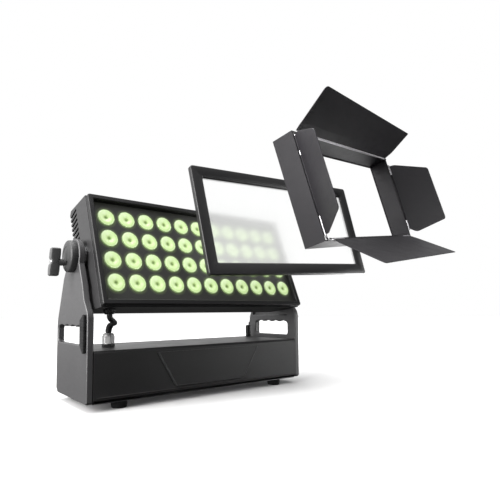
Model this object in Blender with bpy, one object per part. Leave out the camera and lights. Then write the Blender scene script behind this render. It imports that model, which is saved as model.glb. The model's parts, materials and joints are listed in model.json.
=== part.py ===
"""LED wash light: tilting head with an 11 x 4 lens array on a floor base with two
side arms, a slide-on diffusion frame and a four-leaf barn door drawn ahead of it.

Frame: X to the right seen from the front, -Y is the front, +Z up.  The origin is
on the underside of the base; the rubber feet reach 12 mm below it.
"""
import math

import bmesh
import bpy
from mathutils import Matrix, Vector

# ------------------------------------------------------------------ dimensions
GAP = 0.0003                      # between pieces that touch

BASE_HALF_W = 0.2318              # base shell, metres
BASE_FRONT, BASE_REAR = -0.1000, 0.0720
BASE_H = 0.0885
SHELL_T = 0.0020
FOOT_H, FOOT_R = 0.0117, 0.0140
FOOT_X, FOOT_Y = 0.1800, (-0.0800, 0.0540)

ARM_X0, ARM_X1 = 0.2323, 0.2433   # inner and outer face of a side arm
BOSS_R, BOSS_X1 = 0.0285, 0.2566
KNOB_X, KNOB_HALF_T, KNOB_R = 0.2752, 0.0088, 0.0240   # wing of the clamp screw
SCREW_R = 0.0040
SHAFT_R = 0.0080

PIVOT = Vector((0.0, -0.0200, 0.2520))
CLAMP = PIVOT + Vector((0.0, 0.0, -0.0115))   # the clamp screws sit under the pivot
TILT = math.radians(23.04)        # the head looks up by this much

HEAD_HALF_W = 0.2270
HEAD_FRONT = -0.0626              # front of the bezel, ahead of the pivot
HEAD_BACK = 0.0372
HEAD_Z0, HEAD_Z1, HEAD_Z1_BACK = -0.1200, 0.0980, 0.1190
UNDER_SLOPE = 0.2812              # the underside rises towards the rear
UNDER_WALL = 0.0031
BEZEL_T = 0.0117
RIM = 0.0100

COLS, ROWS = 11, 4
PITCH_X, PITCH_Z = 0.0390, 0.0439
LENS_Z = -0.0095                  # middle of the array, below the pivot
PLATE_Y = -0.0526                 # front of the lens plate
LENS_R, HOLE_R = 0.0156, 0.0162
LENS_TALL = 1.09                  # the lenses and their holes are a little taller than wide

FRAME_W, FRAME_H, FRAME_T, FRAME_RAIL = 0.4590, 0.2310, 0.0100, 0.0255
FRAME_AT = Vector((0.1929, -0.1199, 0.3452))   # front centre of the diffusion frame
FRAME_YAW, FRAME_TILT, FRAME_ROLL = math.radians(-2.62), math.radians(13.77), math.radians(3.13)
FRAME_BALL = Vector((0.2120, 0.0128, -0.0404))  # centre of its ball catch, seen from the front centre
FRAME_BALL_R = 0.0026

BARN_W, BARN_H, BARN_D, BARN_T = 0.4320, 0.2060, 0.0430, 0.0020
BARN_AT = Vector((0.2724, -0.2606, 0.4015))    # front centre of the barn door
BARN_YAW, BARN_TILT, BARN_ROLL = math.radians(9.92), math.radians(13.29), math.radians(8.36)
BALL = Vector((0.0, 0.0345, 0.1115))           # ball centre seen from the front centre
BALL_R = 0.0050
HINGE_N = 0.0026                                # hinge axes lie this far ahead of the box
ROD_R = 0.0019
LEAF_T = 0.0015
LEAF_OPEN = {"top": 60.0, "bottom": 50.0, "left": 42.0, "right": 24.0}

GLAND_AT = Vector((-0.1800, -0.0270, BASE_H))
HEAD_GLAND_AT = Vector((-0.1990, -0.0168, HEAD_Z0 + UNDER_SLOPE * (-0.0168 - HEAD_FRONT - BEZEL_T - GAP)))   # in the head's axes
CABLE_R = 0.0050

# ------------------------------------------------------------------- the scene
for old in list(bpy.data.objects):
    bpy.data.objects.remove(old, do_unlink=True)
COLL = bpy.context.scene.collection


def material(name, colour, rough, metal=0.0, **extra):
    m = bpy.data.materials.new(name)
    m.use_nodes = True
    b = m.node_tree.nodes["Principled BSDF"]
    b.inputs["Base Color"].default_value = (*colour, 1.0)
    b.inputs["Roughness"].default_value = rough
    b.inputs["Metallic"].default_value = metal
    for k, v in extra.items():
        b.inputs[k.replace("_", " ")].default_value = v
    m.diffuse_color = (*colour, 1.0)
    return m


PAINT = (0.030, 0.031, 0.034)
BLACK = (0.012, 0.012, 0.013)


def empty(name, parent=None, at=(0, 0, 0), rot=None):
    e = bpy.data.objects.new(name, None)
    COLL.objects.link(e)
    e.parent = parent
    m = Matrix.Translation(Vector(at))
    if rot is not None:
        m = m @ rot.to_4x4()
    e.matrix_local = m
    return e


def finish(name, bm, mat=None, parent=None, at=(0, 0, 0), smooth=None, guide=False):
    """Turn a bmesh into an object; smooth is the sharp-edge angle of a round piece."""
    bmesh.ops.recalc_face_normals(bm, faces=bm.faces)
    me = bpy.data.meshes.new(name)
    bm.to_mesh(me)
    bm.free()
    ob = bpy.data.objects.new(name, me)
    COLL.objects.link(ob)
    ob.parent = parent
    ob.location = at
    if guide:
        ob.hide_render = True
        ob.display_type = "WIRE"
    if mat:
        me.materials.append(mat)
    if smooth:
        me.shade_smooth()
        me.set_sharp_from_angle(angle=math.radians(smooth))
    return ob


def box_into(bm, x0, x1, y0, y1, z0, z1):
    vs = [bm.verts.new((x, y, z)) for x in (x0, x1) for y in (y0, y1) for z in (z0, z1)]
    for f in ((0, 1, 3, 2), (4, 6, 7, 5), (0, 4, 5, 1), (2, 3, 7, 6), (0, 2, 6, 4), (1, 5, 7, 3)):
        bm.faces.new([vs[i] for i in f])


def boxes(*bs):
    bm = bmesh.new()
    for b in bs:
        box_into(bm, *b)
    return bm


def prism(points, a, b, axis="X"):
    """Extrude a closed outline. X: points are (y, z); Y: (x, z); Z: (x, y)."""
    bm = bmesh.new()

    def put(p, h):
        return {"X": (h, p[0], p[1]), "Y": (p[0], h, p[1]), "Z": (p[0], p[1], h)}[axis]

    lo = [bm.verts.new(put(p, a)) for p in points]
    hi = [bm.verts.new(put(p, b)) for p in points]
    bm.faces.new(lo)
    bm.faces.new(hi)
    n = len(points)
    for i in range(n):
        j = (i + 1) % n
        bm.faces.new((lo[i], lo[j], hi[j], hi[i]))
    return bm


def ring_prism(outer, inner, a, b, axis="Y"):
    """A closed band between two outlines with the same number of points."""
    bm = bmesh.new()

    def put(p, h):
        return {"X": (h, p[0], p[1]), "Y": (p[0], h, p[1]), "Z": (p[0], p[1], h)}[axis]

    rows = [[bm.verts.new(put(p, h)) for p in pts] for pts, h in ((outer, a), (outer, b), (inner, b), (inner, a))]
    n = len(outer)
    for k in range(4):
        r, s = rows[k], rows[(k + 1) % 4]
        for i in range(n):
            j = (i + 1) % n
            bm.faces.new((r[i], r[j], s[j], s[i]))
    return bm


def round_rect(w, h, r, seg=4, cx=0.0, cz=0.0):
    pts = []
    for k, (sx, sz) in enumerate(((1, 1), (-1, 1), (-1, -1), (1, -1))):
        for i in range(seg + 1):
            t = math.pi / 2 * (k + i / seg)
            pts.append((cx + sx * (w / 2 - r) + r * math.cos(t), cz + sz * (h / 2 - r) + r * math.sin(t)))
    return pts


def lathe(profile, seg=24, axis="X", centre=(0, 0, 0)):
    """Turn (radius, height) pairs about an axis. Zero radii close to a point;
    a profile that doesn't start and end on the axis closes on itself."""
    bm = bmesh.new()
    cx, cy, cz = centre
    rings = []
    for r, h in profile:
        ring = []
        for i in range(1 if r == 0 else seg):
            t = 2 * math.pi * i / seg
            c, s = r * math.cos(t), r * math.sin(t)
            p = {"X": (h, c, s), "Y": (c, h, s), "Z": (c, s, h)}[axis]
            ring.append(bm.verts.new((p[0] + cx, p[1] + cy, p[2] + cz)))
        rings.append(ring)
    open_ends = profile[0][0] == 0 and profile[-1][0] == 0
    pairs = list(zip(rings, rings[1:])) + ([] if open_ends else [(rings[-1], rings[0])])
    for a, b in pairs:
        for i in range(seg):
            j = (i + 1) % seg
            if len(a) == 1:
                bm.faces.new((a[0], b[i], b[j]))
            elif len(b) == 1:
                bm.faces.new((a[i], a[j], b[0]))
            else:
                bm.faces.new((a[i], a[j], b[j], b[i]))
    return bm


def boolean(ob, tool, op="DIFFERENCE"):
    m = ob.modifiers.new("cut" if op == "DIFFERENCE" else "join", "BOOLEAN")
    m.operation = op
    m.object = tool
    return ob


def guide(name, bm, parent=None):
    return finish(name, bm, parent=parent, guide=True)


def bevel(ob, width, angle=40, segments=1):
    m = ob.modifiers.new("edges", "BEVEL")
    m.width = width
    m.segments = segments
    m.limit_method = "ANGLE"
    m.angle_limit = math.radians(angle)
    return ob


# ------------------------------------------------------------------------ base
profile = [(BASE_FRONT + 0.006, 0.002), (BASE_FRONT, 0.008), (BASE_FRONT, BASE_H - 0.004), (BASE_FRONT + 0.004, BASE_H),
           (BASE_REAR - 0.004, BASE_H), (BASE_REAR, BASE_H - 0.004), (BASE_REAR, 0.002)]
shell = finish("base_shell", prism(profile, -BASE_HALF_W, BASE_HALF_W), material("base_paint", PAINT, 0.48, 0.0))
# pressed inverted trapezoid on the front
boolean(shell, guide("g_press", prism([(-0.0800, 0.0150), (0.0800, 0.0150), (0.1180, 0.0800), (-0.1180, 0.0800)],
                                      BASE_FRONT - 0.0014, BASE_FRONT + 0.0010, "Y")), "UNION")
boolean(shell, guide("g_hollow", boxes((-BASE_HALF_W + SHELL_T, BASE_HALF_W - SHELL_T, BASE_FRONT + SHELL_T, BASE_REAR - SHELL_T,
                                        -0.01, BASE_H - SHELL_T))))
boolean(shell, guide("g_rear_window", boxes((-0.1500, 0.1500, BASE_REAR - 0.006, BASE_REAR + 0.006, 0.0180, 0.0740))))
boolean(shell, guide("g_gland_hole", lathe([(0, BASE_H - 0.02), (0.0080, BASE_H - 0.02), (0.0080, BASE_H + 0.01), (0, BASE_H + 0.01)],
                                           16, "Z", (GLAND_AT.x, GLAND_AT.y, 0))))

bottom = finish("base_bottom_plate", boxes((-BASE_HALF_W, BASE_HALF_W, BASE_FRONT + 0.0065, BASE_REAR - 0.0005, 0.0006, 0.0017)),
                material("plate_zinc", (0.10, 0.10, 0.105), 0.42, 0.8))
# a pressed pad in the middle of the underside is the face that a bracket takes
boolean(bottom, guide("g_pad", boxes((-0.0500, 0.0500, -0.0400, 0.0400, 0.0, 0.0010))), "UNION")

for i, x in enumerate((-FOOT_X, FOOT_X)):
    for j, y in enumerate(FOOT_Y):
        finish("foot_%s_%s" % ("left" if i == 0 else "right", "front" if j == 0 else "rear"),
               lathe([(0, GAP), (FOOT_R * 0.86, GAP), (FOOT_R, -0.003), (FOOT_R * 0.92, -FOOT_H), (0, -FOOT_H)], 16, "Z"),
               material("foot_rubber_%d%d" % (i, j), BLACK, 0.85), at=(x, y, 0), smooth=35)

# ------------------------------------------------------------------- side arms
py, pz = PIVOT.y, PIVOT.z
arm_outline = [(-0.0945, 0.0020), (-0.0985, 0.0050), (-0.0985, 0.1420), (-0.0950, 0.1530), (-0.0780, 0.1740), (-0.0690, 0.2000)]
for k in range(13):
    t = math.radians(205 - k * 18)
    arm_outline.append((py + 0.0325 * math.cos(t), pz + 0.0325 * math.sin(t)))
arm_outline += [(0.0350, 0.2146), (0.0680, 0.1376), (0.0700, 0.1250), (0.0700, 0.0100), (0.0620, 0.0020)]
HOLES = {"left": (-0.0760, 0.0610, 0.0970, 0.1300),          # hand holes, y and z limits
         "right": (-0.0720, 0.0440, 0.0970, 0.1300)}
FINGERS, TOOTH = 4, 0.0026                                    # finger hollows along a hole's top edge


def hand_hole(y0, y1, z0, z1, r=0.006, steps=7):
    """A hole with two round lower corners and a row of finger hollows along its top."""
    pts = [(y0 + r - r * math.sin(t), z0 + r - r * math.cos(t)) for t in (0, math.pi / 6, math.pi / 3, math.pi / 2)]
    a, b = y0 + 0.0040, y1 - 0.0040
    pts.append((y0, z1 - TOOTH - 0.0040))
    for k in range(FINGERS * steps + 1):
        u = k / (FINGERS * steps)
        pts.append((a + (b - a) * u, z1 - TOOTH * (1 - abs(math.sin(math.pi * FINGERS * u)))))
    pts.append((y1, z1 - TOOTH - 0.0040))
    return pts + [(y1 - r + r * math.sin(t), z0 + r - r * math.cos(t)) for t in (math.pi / 2, math.pi / 3, math.pi / 6, 0)]


for side, s in (("left", -1), ("right", 1)):
    lo, hi = sorted((s * ARM_X0, s * ARM_X1))
    arm = finish("arm_" + side, prism(arm_outline, lo, hi), material("arm_paint_" + side, PAINT, 0.48))
    hole = HOLES[side]
    boolean(arm, guide("g_hand_" + side, prism(hand_hole(*hole), lo - 0.01, hi + 0.01)))
    boolean(arm, guide("g_shaft_hole_" + side, lathe([(0, lo - 0.01), (SHAFT_R + 0.0005, lo - 0.01), (SHAFT_R + 0.0005, hi + 0.01), (0, hi + 0.01)],
                                                     24, "X", (0, py, pz))))
    # the arm is a channel: a pocket beside the base and one over the hand hole
    p0, p1 = sorted((s * (ARM_X0 - 0.01), s * (ARM_X1 - 0.0040)))
    boolean(arm, guide("g_pocket_low_" + side, prism([(-0.0900, 0.0100), (0.0600, 0.0100), (0.0600, 0.0840), (-0.0900, 0.0840)], p0, p1)))
    boolean(arm, guide("g_pocket_high_" + side, prism([(-0.0700, 0.1430), (0.0560, 0.1430), (0.0330, 0.1960), (-0.0560, 0.1960)], p0, p1)))
    bevel(arm, 0.0012, 50)
    # round friction boss on the outside of the arm: a blind bore for the pivot, a threaded hole for the clamp
    a, b = ARM_X1 + GAP, BOSS_X1
    boss = finish("arm_boss_" + side,
                  lathe([(0, s * 0.2470), (SHAFT_R + 0.0006, s * 0.2470), (SHAFT_R + 0.0006, s * a), (BOSS_R, s * a), (BOSS_R, s * (b - 0.0036)),
                         (BOSS_R - 0.0020, s * (b - 0.0012)), (BOSS_R - 0.0060, s * b), (0, s * b)], 32, "X"),
                  material("boss_" + side, BLACK, 0.55), at=(0, py, pz), smooth=35)
    boolean(boss, guide("g_clamp_hole_" + side, lathe([(0, s * 0.2478), (SCREW_R + GAP, s * 0.2478), (SCREW_R + GAP, s * 0.2600), (0, s * 0.2600)],
                                                      16, "X", tuple(CLAMP))))
    # moulded grip beside the hand hole: a pad on the front leg on the left, on the rear leg and lapping round its edge on the right
    g0, g1 = sorted((s * (ARM_X1 + GAP), s * (ARM_X1 + 0.0060)))
    if side == "left":
        pad = [(-0.0945, 0.0850), (-0.0905, 0.0850), (-0.0765, 0.0980), (-0.0765, 0.1400), (-0.0905, 0.1490), (-0.0945, 0.1490)]
    else:
        pad = [(0.0760, 0.0960), (0.0715, 0.0880), (0.0535, 0.0880), (0.0480, 0.0960), (0.0480, 0.1390), (0.0535, 0.1480), (0.0675, 0.1480), (0.0760, 0.1390)]
    grip = finish("hand_grip_" + side, prism(pad, g0, g1), material("grip_rubber_" + side, BLACK, 0.75))
    if side == "right":
        boolean(grip, guide("g_grip_lip_" + side, boxes((0.2345, ARM_X1 + 0.0010, 0.0703, 0.0760, 0.0960, 0.1240))), "UNION")
    bevel(grip, 0.0012, 30)

# ------------------------------------------------------------ glands and cable
NICKEL = (0.62, 0.60, 0.55)
gl = finish("base_gland",
            lathe([(CABLE_R + GAP, -0.0100), (0.0076, -0.0100), (0.0076, GAP), (0.0116, GAP), (0.0116, 0.0055), (0.0102, 0.0062),
                   (0.0102, 0.0200), (0.0082, 0.0255), (CABLE_R + GAP, 0.0255)], 18, "Z"),
            material("gland_nickel", NICKEL, 0.25, 1.0), at=GLAND_AT, smooth=35)
plug = finish("vent_plug", lathe([(0, GAP), (0.0064, GAP), (0.0064, 0.0265), (0.0050, 0.0290), (0, 0.0290)], 16, "Z"),
              material("plug_black", BLACK, 0.6), at=(0.2116, 0.0483, BASE_H), smooth=35)

# -------------------------------------------------------------- rear of the base
panel = finish("control_panel", boxes((-0.1550, 0.1550, BASE_REAR + GAP, BASE_REAR + 0.0023, 0.0140, 0.0780)),
               material("panel_black", (0.02, 0.02, 0.022), 0.5))
PANEL_Y = BASE_REAR + 0.0023
BUTTON_X = (0.0620, 0.0780, 0.0940, 0.1100)
bm = bmesh.new()
for x in BUTTON_X:
    t = lathe([(0, BASE_REAR - 0.01), (0.0053, BASE_REAR - 0.01), (0.0053, BASE_REAR + 0.01), (0, BASE_REAR + 0.01)], 16, "Y", (x, 0, 0.0460))
    me = bpy.data.meshes.new("t")
    t.to_mesh(me)
    t.free()
    bm.from_mesh(me)
    bpy.data.meshes.remove(me)
boolean(panel, guide("g_button_holes", bm))
finish("display_window", boxes((-0.0150, 0.0450, PANEL_Y + GAP, PANEL_Y + 0.0023, 0.0300, 0.0620)),
       material("display_glass", (0.01, 0.015, 0.03), 0.08))
for k, (nm, x) in enumerate(zip(("menu", "up", "down", "enter"), BUTTON_X)):
    finish("button_" + nm,
           lathe([(0, BASE_REAR - 0.0022), (0.0068, BASE_REAR - 0.0022), (0.0068, BASE_REAR - 0.0006), (0.0048, BASE_REAR - 0.0006),
                  (0.0048, PANEL_Y + 0.0025), (0.0040, PANEL_Y + 0.0032), (0, PANEL_Y + 0.0032)], 16, "Y"),
           material("button_" + nm, (0.05, 0.05, 0.055), 0.55), at=(x, 0, 0.0460), smooth=35)
for nm, x, r, col in (("power_in", -0.1330, 0.0130, (0.02, 0.06, 0.30)), ("power_out", -0.1000, 0.0130, (0.35, 0.36, 0.38)),
                      ("data_in", -0.0680, 0.0100, (0.3, 0.3, 0.3)), ("data_out", -0.0390, 0.0100, (0.3, 0.3, 0.3))):
    y0 = PANEL_Y + GAP
    finish(nm, lathe([(0, y0), (r, y0), (r, y0 + 0.0030), (r - 0.0012, y0 + 0.0035), (r - 0.0012, y0 + 0.0090), (r - 0.0032, y0 + 0.0090),
                      (r - 0.0032, y0 + 0.0062), (0.0030, y0 + 0.0062), (0.0030, y0 + 0.0080), (0, y0 + 0.0080)], 16, "Y"),
           material("socket_" + nm, col, 0.4, 0.2), at=(x, 0, 0.0460), smooth=35)


def tube(name, points, radius, mat, parent=None, res=6, bev=2, handles=None):
    cu = bpy.data.curves.new(name + "_path", "CURVE")
    cu.dimensions = "3D"
    cu.bevel_depth = radius
    cu.bevel_resolution = bev
    cu.use_fill_caps = True
    cu.resolution_u = res
    sp = cu.splines.new("BEZIER")
    sp.bezier_points.add(len(points) - 1)
    for i, (bp, p) in enumerate(zip(sp.bezier_points, points)):
        bp.co = p
        if handles and handles[i]:
            bp.handle_left_type = bp.handle_right_type = "FREE"
            bp.handle_left = Vector(p) - Vector(handles[i])
            bp.handle_right = Vector(p) + Vector(handles[i])
        else:
            bp.handle_left_type = bp.handle_right_type = "AUTO"
    ob = bpy.data.objects.new(name, cu)
    COLL.objects.link(ob)
    ob.parent = parent
    cu.materials.append(mat)
    return ob


tube("safety_eye", [(-0.1900, BASE_REAR + 0.0004, 0.0330), (-0.1900, BASE_REAR + 0.0120, 0.0330), (-0.1900, BASE_REAR + 0.0230, 0.0450),
                    (-0.1900, BASE_REAR + 0.0120, 0.0570), (-0.1900, BASE_REAR + 0.0004, 0.0570)], 0.0028,
     material("eye_steel", (0.55, 0.55, 0.56), 0.3, 1.0), res=4, bev=1,
     handles=[(0, 0.003, 0), (0, 0.0055, 0), (0, 0, 0.0065), (0, -0.0055, 0), (0, -0.003, 0)])

psu = finish("power_supply", boxes((-0.1500, 0.0200, -0.0850, 0.0400, 0.0020, 0.0470)), material("psu_case", (0.45, 0.45, 0.46), 0.45, 0.9))
bevel(psu, 0.002)
board = finish("control_board", boxes((0.0400, 0.1900, -0.0700, 0.0600, 0.0140, 0.0156)), material("pcb_green", (0.01, 0.09, 0.04), 0.45))
boolean(board, guide("g_board_parts", boxes((0.046, 0.052, -0.064, -0.058, 0.002, 0.0148), (0.178, 0.184, -0.064, -0.058, 0.002, 0.0148),
                                            (0.046, 0.052, 0.048, 0.054, 0.002, 0.0148), (0.178, 0.184, 0.048, 0.054, 0.002, 0.0148),
                                            (0.080, 0.110, -0.030, 0.000, 0.0150, 0.0230), (0.130, 0.160, 0.010, 0.035, 0.0150, 0.0300))), "UNION")

# ------------------------------------------------------------------------ head
HEAD = empty("head_pivot", at=PIVOT, rot=Matrix.Rotation(-TILT, 3, "X"))
HOUSING_FRONT = HEAD_FRONT + BEZEL_T + GAP


def under(y):
    """Height of the housing's underside at a depth y."""
    return HEAD_Z0 + UNDER_SLOPE * (y - HOUSING_FRONT)


housing = finish("head_housing",
                 prism([(HOUSING_FRONT, HEAD_Z0), (HOUSING_FRONT, HEAD_Z1 + 0.0030), (HEAD_BACK - 0.007, HEAD_Z1_BACK),
                        (HEAD_BACK, HEAD_Z1_BACK - 0.006), (HEAD_BACK, under(HEAD_BACK))],
                       -HEAD_HALF_W, HEAD_HALF_W), material("head_paint", PAINT, 0.48), HEAD)
boolean(housing, guide("g_head_inside", prism([(-0.1000, under(-0.1000) + UNDER_WALL), (0.0700, under(0.0700) + UNDER_WALL),
                                               (0.0700, HEAD_Z1 - 0.0030), (-0.1000, HEAD_Z1 - 0.0030)], -0.2240, 0.2240), HEAD))
boolean(housing, guide("g_head_blocks", boxes((0.2020, 0.2250, -0.0220, 0.0220, -0.0220, 0.0220),
                                              (-0.2250, -0.2020, -0.0220, 0.0220, -0.0220, 0.0220)), HEAD), "UNION")
slots = []
for k in range(7):
    for z in (0.0425 + k * 0.0103, -0.0425 - k * 0.0103)[:2 if k < 5 else 1]:
        for x0, x1 in ((-0.24, -0.2200), (0.2200, 0.24)):
            slots.append((x0, x1, 0.0020, 0.0700, z - 0.0026, z + 0.0026))
boolean(housing, guide("g_head_slots", boxes(*slots), HEAD))
# the gland stands square to the sloping underside
R_UNDER = Matrix.Rotation(math.atan(UNDER_SLOPE), 3, "X")
ENTRY = empty("cable_entry", HEAD, HEAD_GLAND_AT, R_UNDER)
boolean(housing, guide("g_head_gland_hole", lathe([(0, -0.012), (0.0080, -0.012), (0.0080, 0.0075), (0, 0.0075)], 16, "Z"), ENTRY))

zc = (HEAD_Z0 + HEAD_Z1) / 2
bezel = finish("front_bezel",
               ring_prism(round_rect(2 * HEAD_HALF_W, HEAD_Z1 - HEAD_Z0, 0.0040, 2, 0, zc),
                          round_rect(2 * (HEAD_HALF_W - RIM), HEAD_Z1 - HEAD_Z0 - 2 * RIM, 0.0006, 2, 0, zc),
                          HEAD_FRONT, HEAD_FRONT + BEZEL_T), material("bezel_paint", PAINT, 0.45), HEAD)
bevel(bezel, 0.0015, 60)


def cell_points(n):
    """n rim points of a unit square cell, matched one to one with a circle's."""
    pts = []
    for i in range(n):
        t = math.pi / 4 + 2 * math.pi * i / n
        c, s = math.cos(t), math.sin(t)
        k = 4 * i // n
        f = (i - k * n // 4) / (n // 4)
        a = ((0.5, 0.5), (-0.5, 0.5), (-0.5, -0.5), (0.5, -0.5))[k]
        b = ((-0.5, 0.5), (-0.5, -0.5), (0.5, -0.5), (0.5, 0.5))[k]
        pts.append(((a[0] + (b[0] - a[0]) * f, a[1] + (b[1] - a[1]) * f), (c, s)))
    return pts


def array_sheet(y_front, y_back, radius, lens=None, n=12, half_x=0.2165,
                z_lo=HEAD_Z0 + RIM + 0.0005, z_hi=HEAD_Z1 - RIM - 0.0005):
    """A sheet with a round hole at every lens place, or with a lens standing on each.
    lens: (radius, height) pairs above the sheet's front, ending on the axis."""
    bm = bmesh.new()
    cache = {}

    def v(x, y, z):
        key = (round(x, 6), round(y, 6), round(z, 6))
        if key not in cache:
            cache[key] = bm.verts.new((x, y, z))
        return cache[key]

    cells = cell_points(n)
    for c in range(COLS):
        for r in range(ROWS):
            cx, cz = (c - (COLS - 1) / 2) * PITCH_X, LENS_Z + ((ROWS - 1) / 2 - r) * PITCH_Z
            rim, hole = [], []
            for (qx, qz), (ux, uz) in cells:
                x, z = cx + qx * PITCH_X, cz + qz * PITCH_Z
                # the outer cells run on to the sheet's edge
                if c == 0 and qx < -0.49: x = -half_x
                if c == COLS - 1 and qx > 0.49: x = half_x
                if r == 0 and qz > 0.49: z = z_hi
                if r == ROWS - 1 and qz < -0.49: z = z_lo
                rim.append((x, z))
                hole.append((cx + radius * ux, cz + radius * LENS_TALL * uz))
            for i in range(n):
                j = (i + 1) % n
                bm.faces.new((v(rim[i][0], y_front, rim[i][1]), v(rim[j][0], y_front, rim[j][1]),
                              v(hole[j][0], y_front, hole[j][1]), v(hole[i][0], y_front, hole[i][1])))
                if lens is None:
                    bm.faces.new((v(rim[i][0], y_back, rim[i][1]), v(hole[i][0], y_back, hole[i][1]),
                                  v(hole[j][0], y_back, hole[j][1]), v(rim[j][0], y_back, rim[j][1])))
                    bm.faces.new((v(hole[i][0], y_front, hole[i][1]), v(hole[j][0], y_front, hole[j][1]),
                                  v(hole[j][0], y_back, hole[j][1]), v(hole[i][0], y_back, hole[i][1])))
                else:
                    last = [(radius, 0.0)] + list(lens)
                    for (ra, ha), (rb, hb) in zip(last, last[1:]):
                        pa = [v(cx + ra * cells[q][1][0], y_front - ha, cz + ra * LENS_TALL * cells[q][1][1]) for q in (i, j)]
                        if rb == 0:
                            bm.faces.new((pa[0], pa[1], v(cx, y_front - hb, cz)))
                        else:
                            pb = [v(cx + rb * cells[q][1][0], y_front - hb, cz + rb * LENS_TALL * cells[q][1][1]) for q in (i, j)]
                            bm.faces.new((pa[0], pa[1], pb[1], pb[0]))
    # close the rim, and the back where the sheet is solid
    edge = [e for e in bm.edges if len(e.link_faces) == 1]
    if lens is None:
        front = [e for e in edge if all(abs(w.co.y - y_front) < 1e-7 for w in e.verts)]
        for e in front:
            a, b = e.verts
            bm.faces.new((a, b, v(b.co.x, y_back, b.co.z), v(a.co.x, y_back, a.co.z)))
    else:
        out = bmesh.ops.extrude_edge_only(bm, edges=edge)
        new = [g for g in out["geom"] if isinstance(g, bmesh.types.BMVert)]
        for w in new:
            w.co.y = y_back
        rim_edges = [g for g in out["geom"] if isinstance(g, bmesh.types.BMEdge) and all(w in new for w in g.verts)]
        bmesh.ops.contextual_create(bm, geom=rim_edges)
    return bm


finish("lens_plate", array_sheet(PLATE_Y, PLATE_Y + 0.0020, HOLE_R), material("lens_plate_black", BLACK, 0.35), HEAD)
finish("lens_array", array_sheet(PLATE_Y + 0.0026, PLATE_Y + 0.0046, LENS_R,
                                 lens=[(LENS_R, 0.0036), (LENS_R * 0.62, 0.0058), (0, 0.0066)]),
       material("lens_clear", (0.70, 0.85, 0.45), 0.08, Emission_Strength=1.0), HEAD, smooth=30)
finish("led_board", array_sheet(-0.0390, -0.0374, 0.0036, lens=[(0.0036, 0.0018), (0, 0.0018)], n=4, half_x=0.2130, z_lo=-0.1060, z_hi=0.0800),
       material("led_board_white", (0.75, 0.76, 0.74), 0.5), HEAD)

comb = []
z0, pitch, fin, nf = -0.0925, 0.0108, 0.0036, 17
for k in range(nf):
    z = z0 + k * pitch
    comb += [(-0.0290, z), (0.0300, z), (0.0300, z + fin), (-0.0290, z + fin)]
comb = [(-0.0370, z0)] + comb[1:-1] + [(-0.0370, z0 + (nf - 1) * pitch + fin)]
finish("heat_sink", prism(comb, -0.1780, 0.1780), material("sink_aluminium", (0.35, 0.35, 0.36), 0.45, 0.9), HEAD)

cover = finish("rear_cover", boxes((-0.2200, 0.2200, HEAD_BACK + GAP, HEAD_BACK + 0.0023, -0.0940, 0.1080)),
               material("cover_paint", PAINT, 0.5), HEAD)
boolean(cover, guide("g_cover_louvres", boxes(*[(x0, x1, 0.0, 0.06, -0.0740 + k * 0.0250, -0.0660 + k * 0.0250)
                                                for k in range(7) for x0, x1 in ((-0.20, -0.01), (0.01, 0.20))]), HEAD))

finish("head_gland",
       lathe([(CABLE_R + GAP, 0.0080), (0.0076, 0.0080), (0.0076, -GAP), (0.0105, -GAP), (0.0105, -0.0035), (0.0092, -0.0040),
              (0.0092, -0.0062), (0.0075, -0.0078), (CABLE_R + GAP, -0.0078)], 18, "Z"),
       material("gland_black", BLACK, 0.5), ENTRY, smooth=35)

for side, s in (("left", -1), ("right", 1)):
    a, b = HEAD_HALF_W + GAP, ARM_X0 - GAP
    finish("pivot_shaft_" + side,
           lathe([(0, s * a), (0.0220, s * a), (0.0220, s * b), (SHAFT_R, s * b), (SHAFT_R, s * 0.2455), (SHAFT_R - 0.0010, s * 0.2465), (0, s * 0.2465)],
                 24, "X"),
           material("shaft_steel_" + side, (0.5, 0.5, 0.5), 0.3, 1.0), HEAD, smooth=35)

# cable from the base up into the head, whole, in the pose shown
up = Matrix.Rotation(-TILT, 3, "X") @ R_UNDER @ Vector((0, 0, 1))
entry = PIVOT + Matrix.Rotation(-TILT, 3, "X") @ (HEAD_GLAND_AT + R_UNDER @ Vector((0, 0, -0.0078)))
tube("head_cable", [GLAND_AT + Vector((0, 0, -0.0200)), GLAND_AT + Vector((0, 0, 0.0265)), Vector((-0.1790, -0.0530, 0.1325)),
                    entry - up * 0.0040, entry + up * 0.0230], CABLE_R,
     material("cable_black", BLACK, 0.6), res=8, bev=3,
     handles=[(0, 0, 0.010), (0, 0, 0.0085), (-0.0050, -0.0090, 0.0015), tuple(up * 0.0060), tuple(up * 0.008)])

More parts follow.
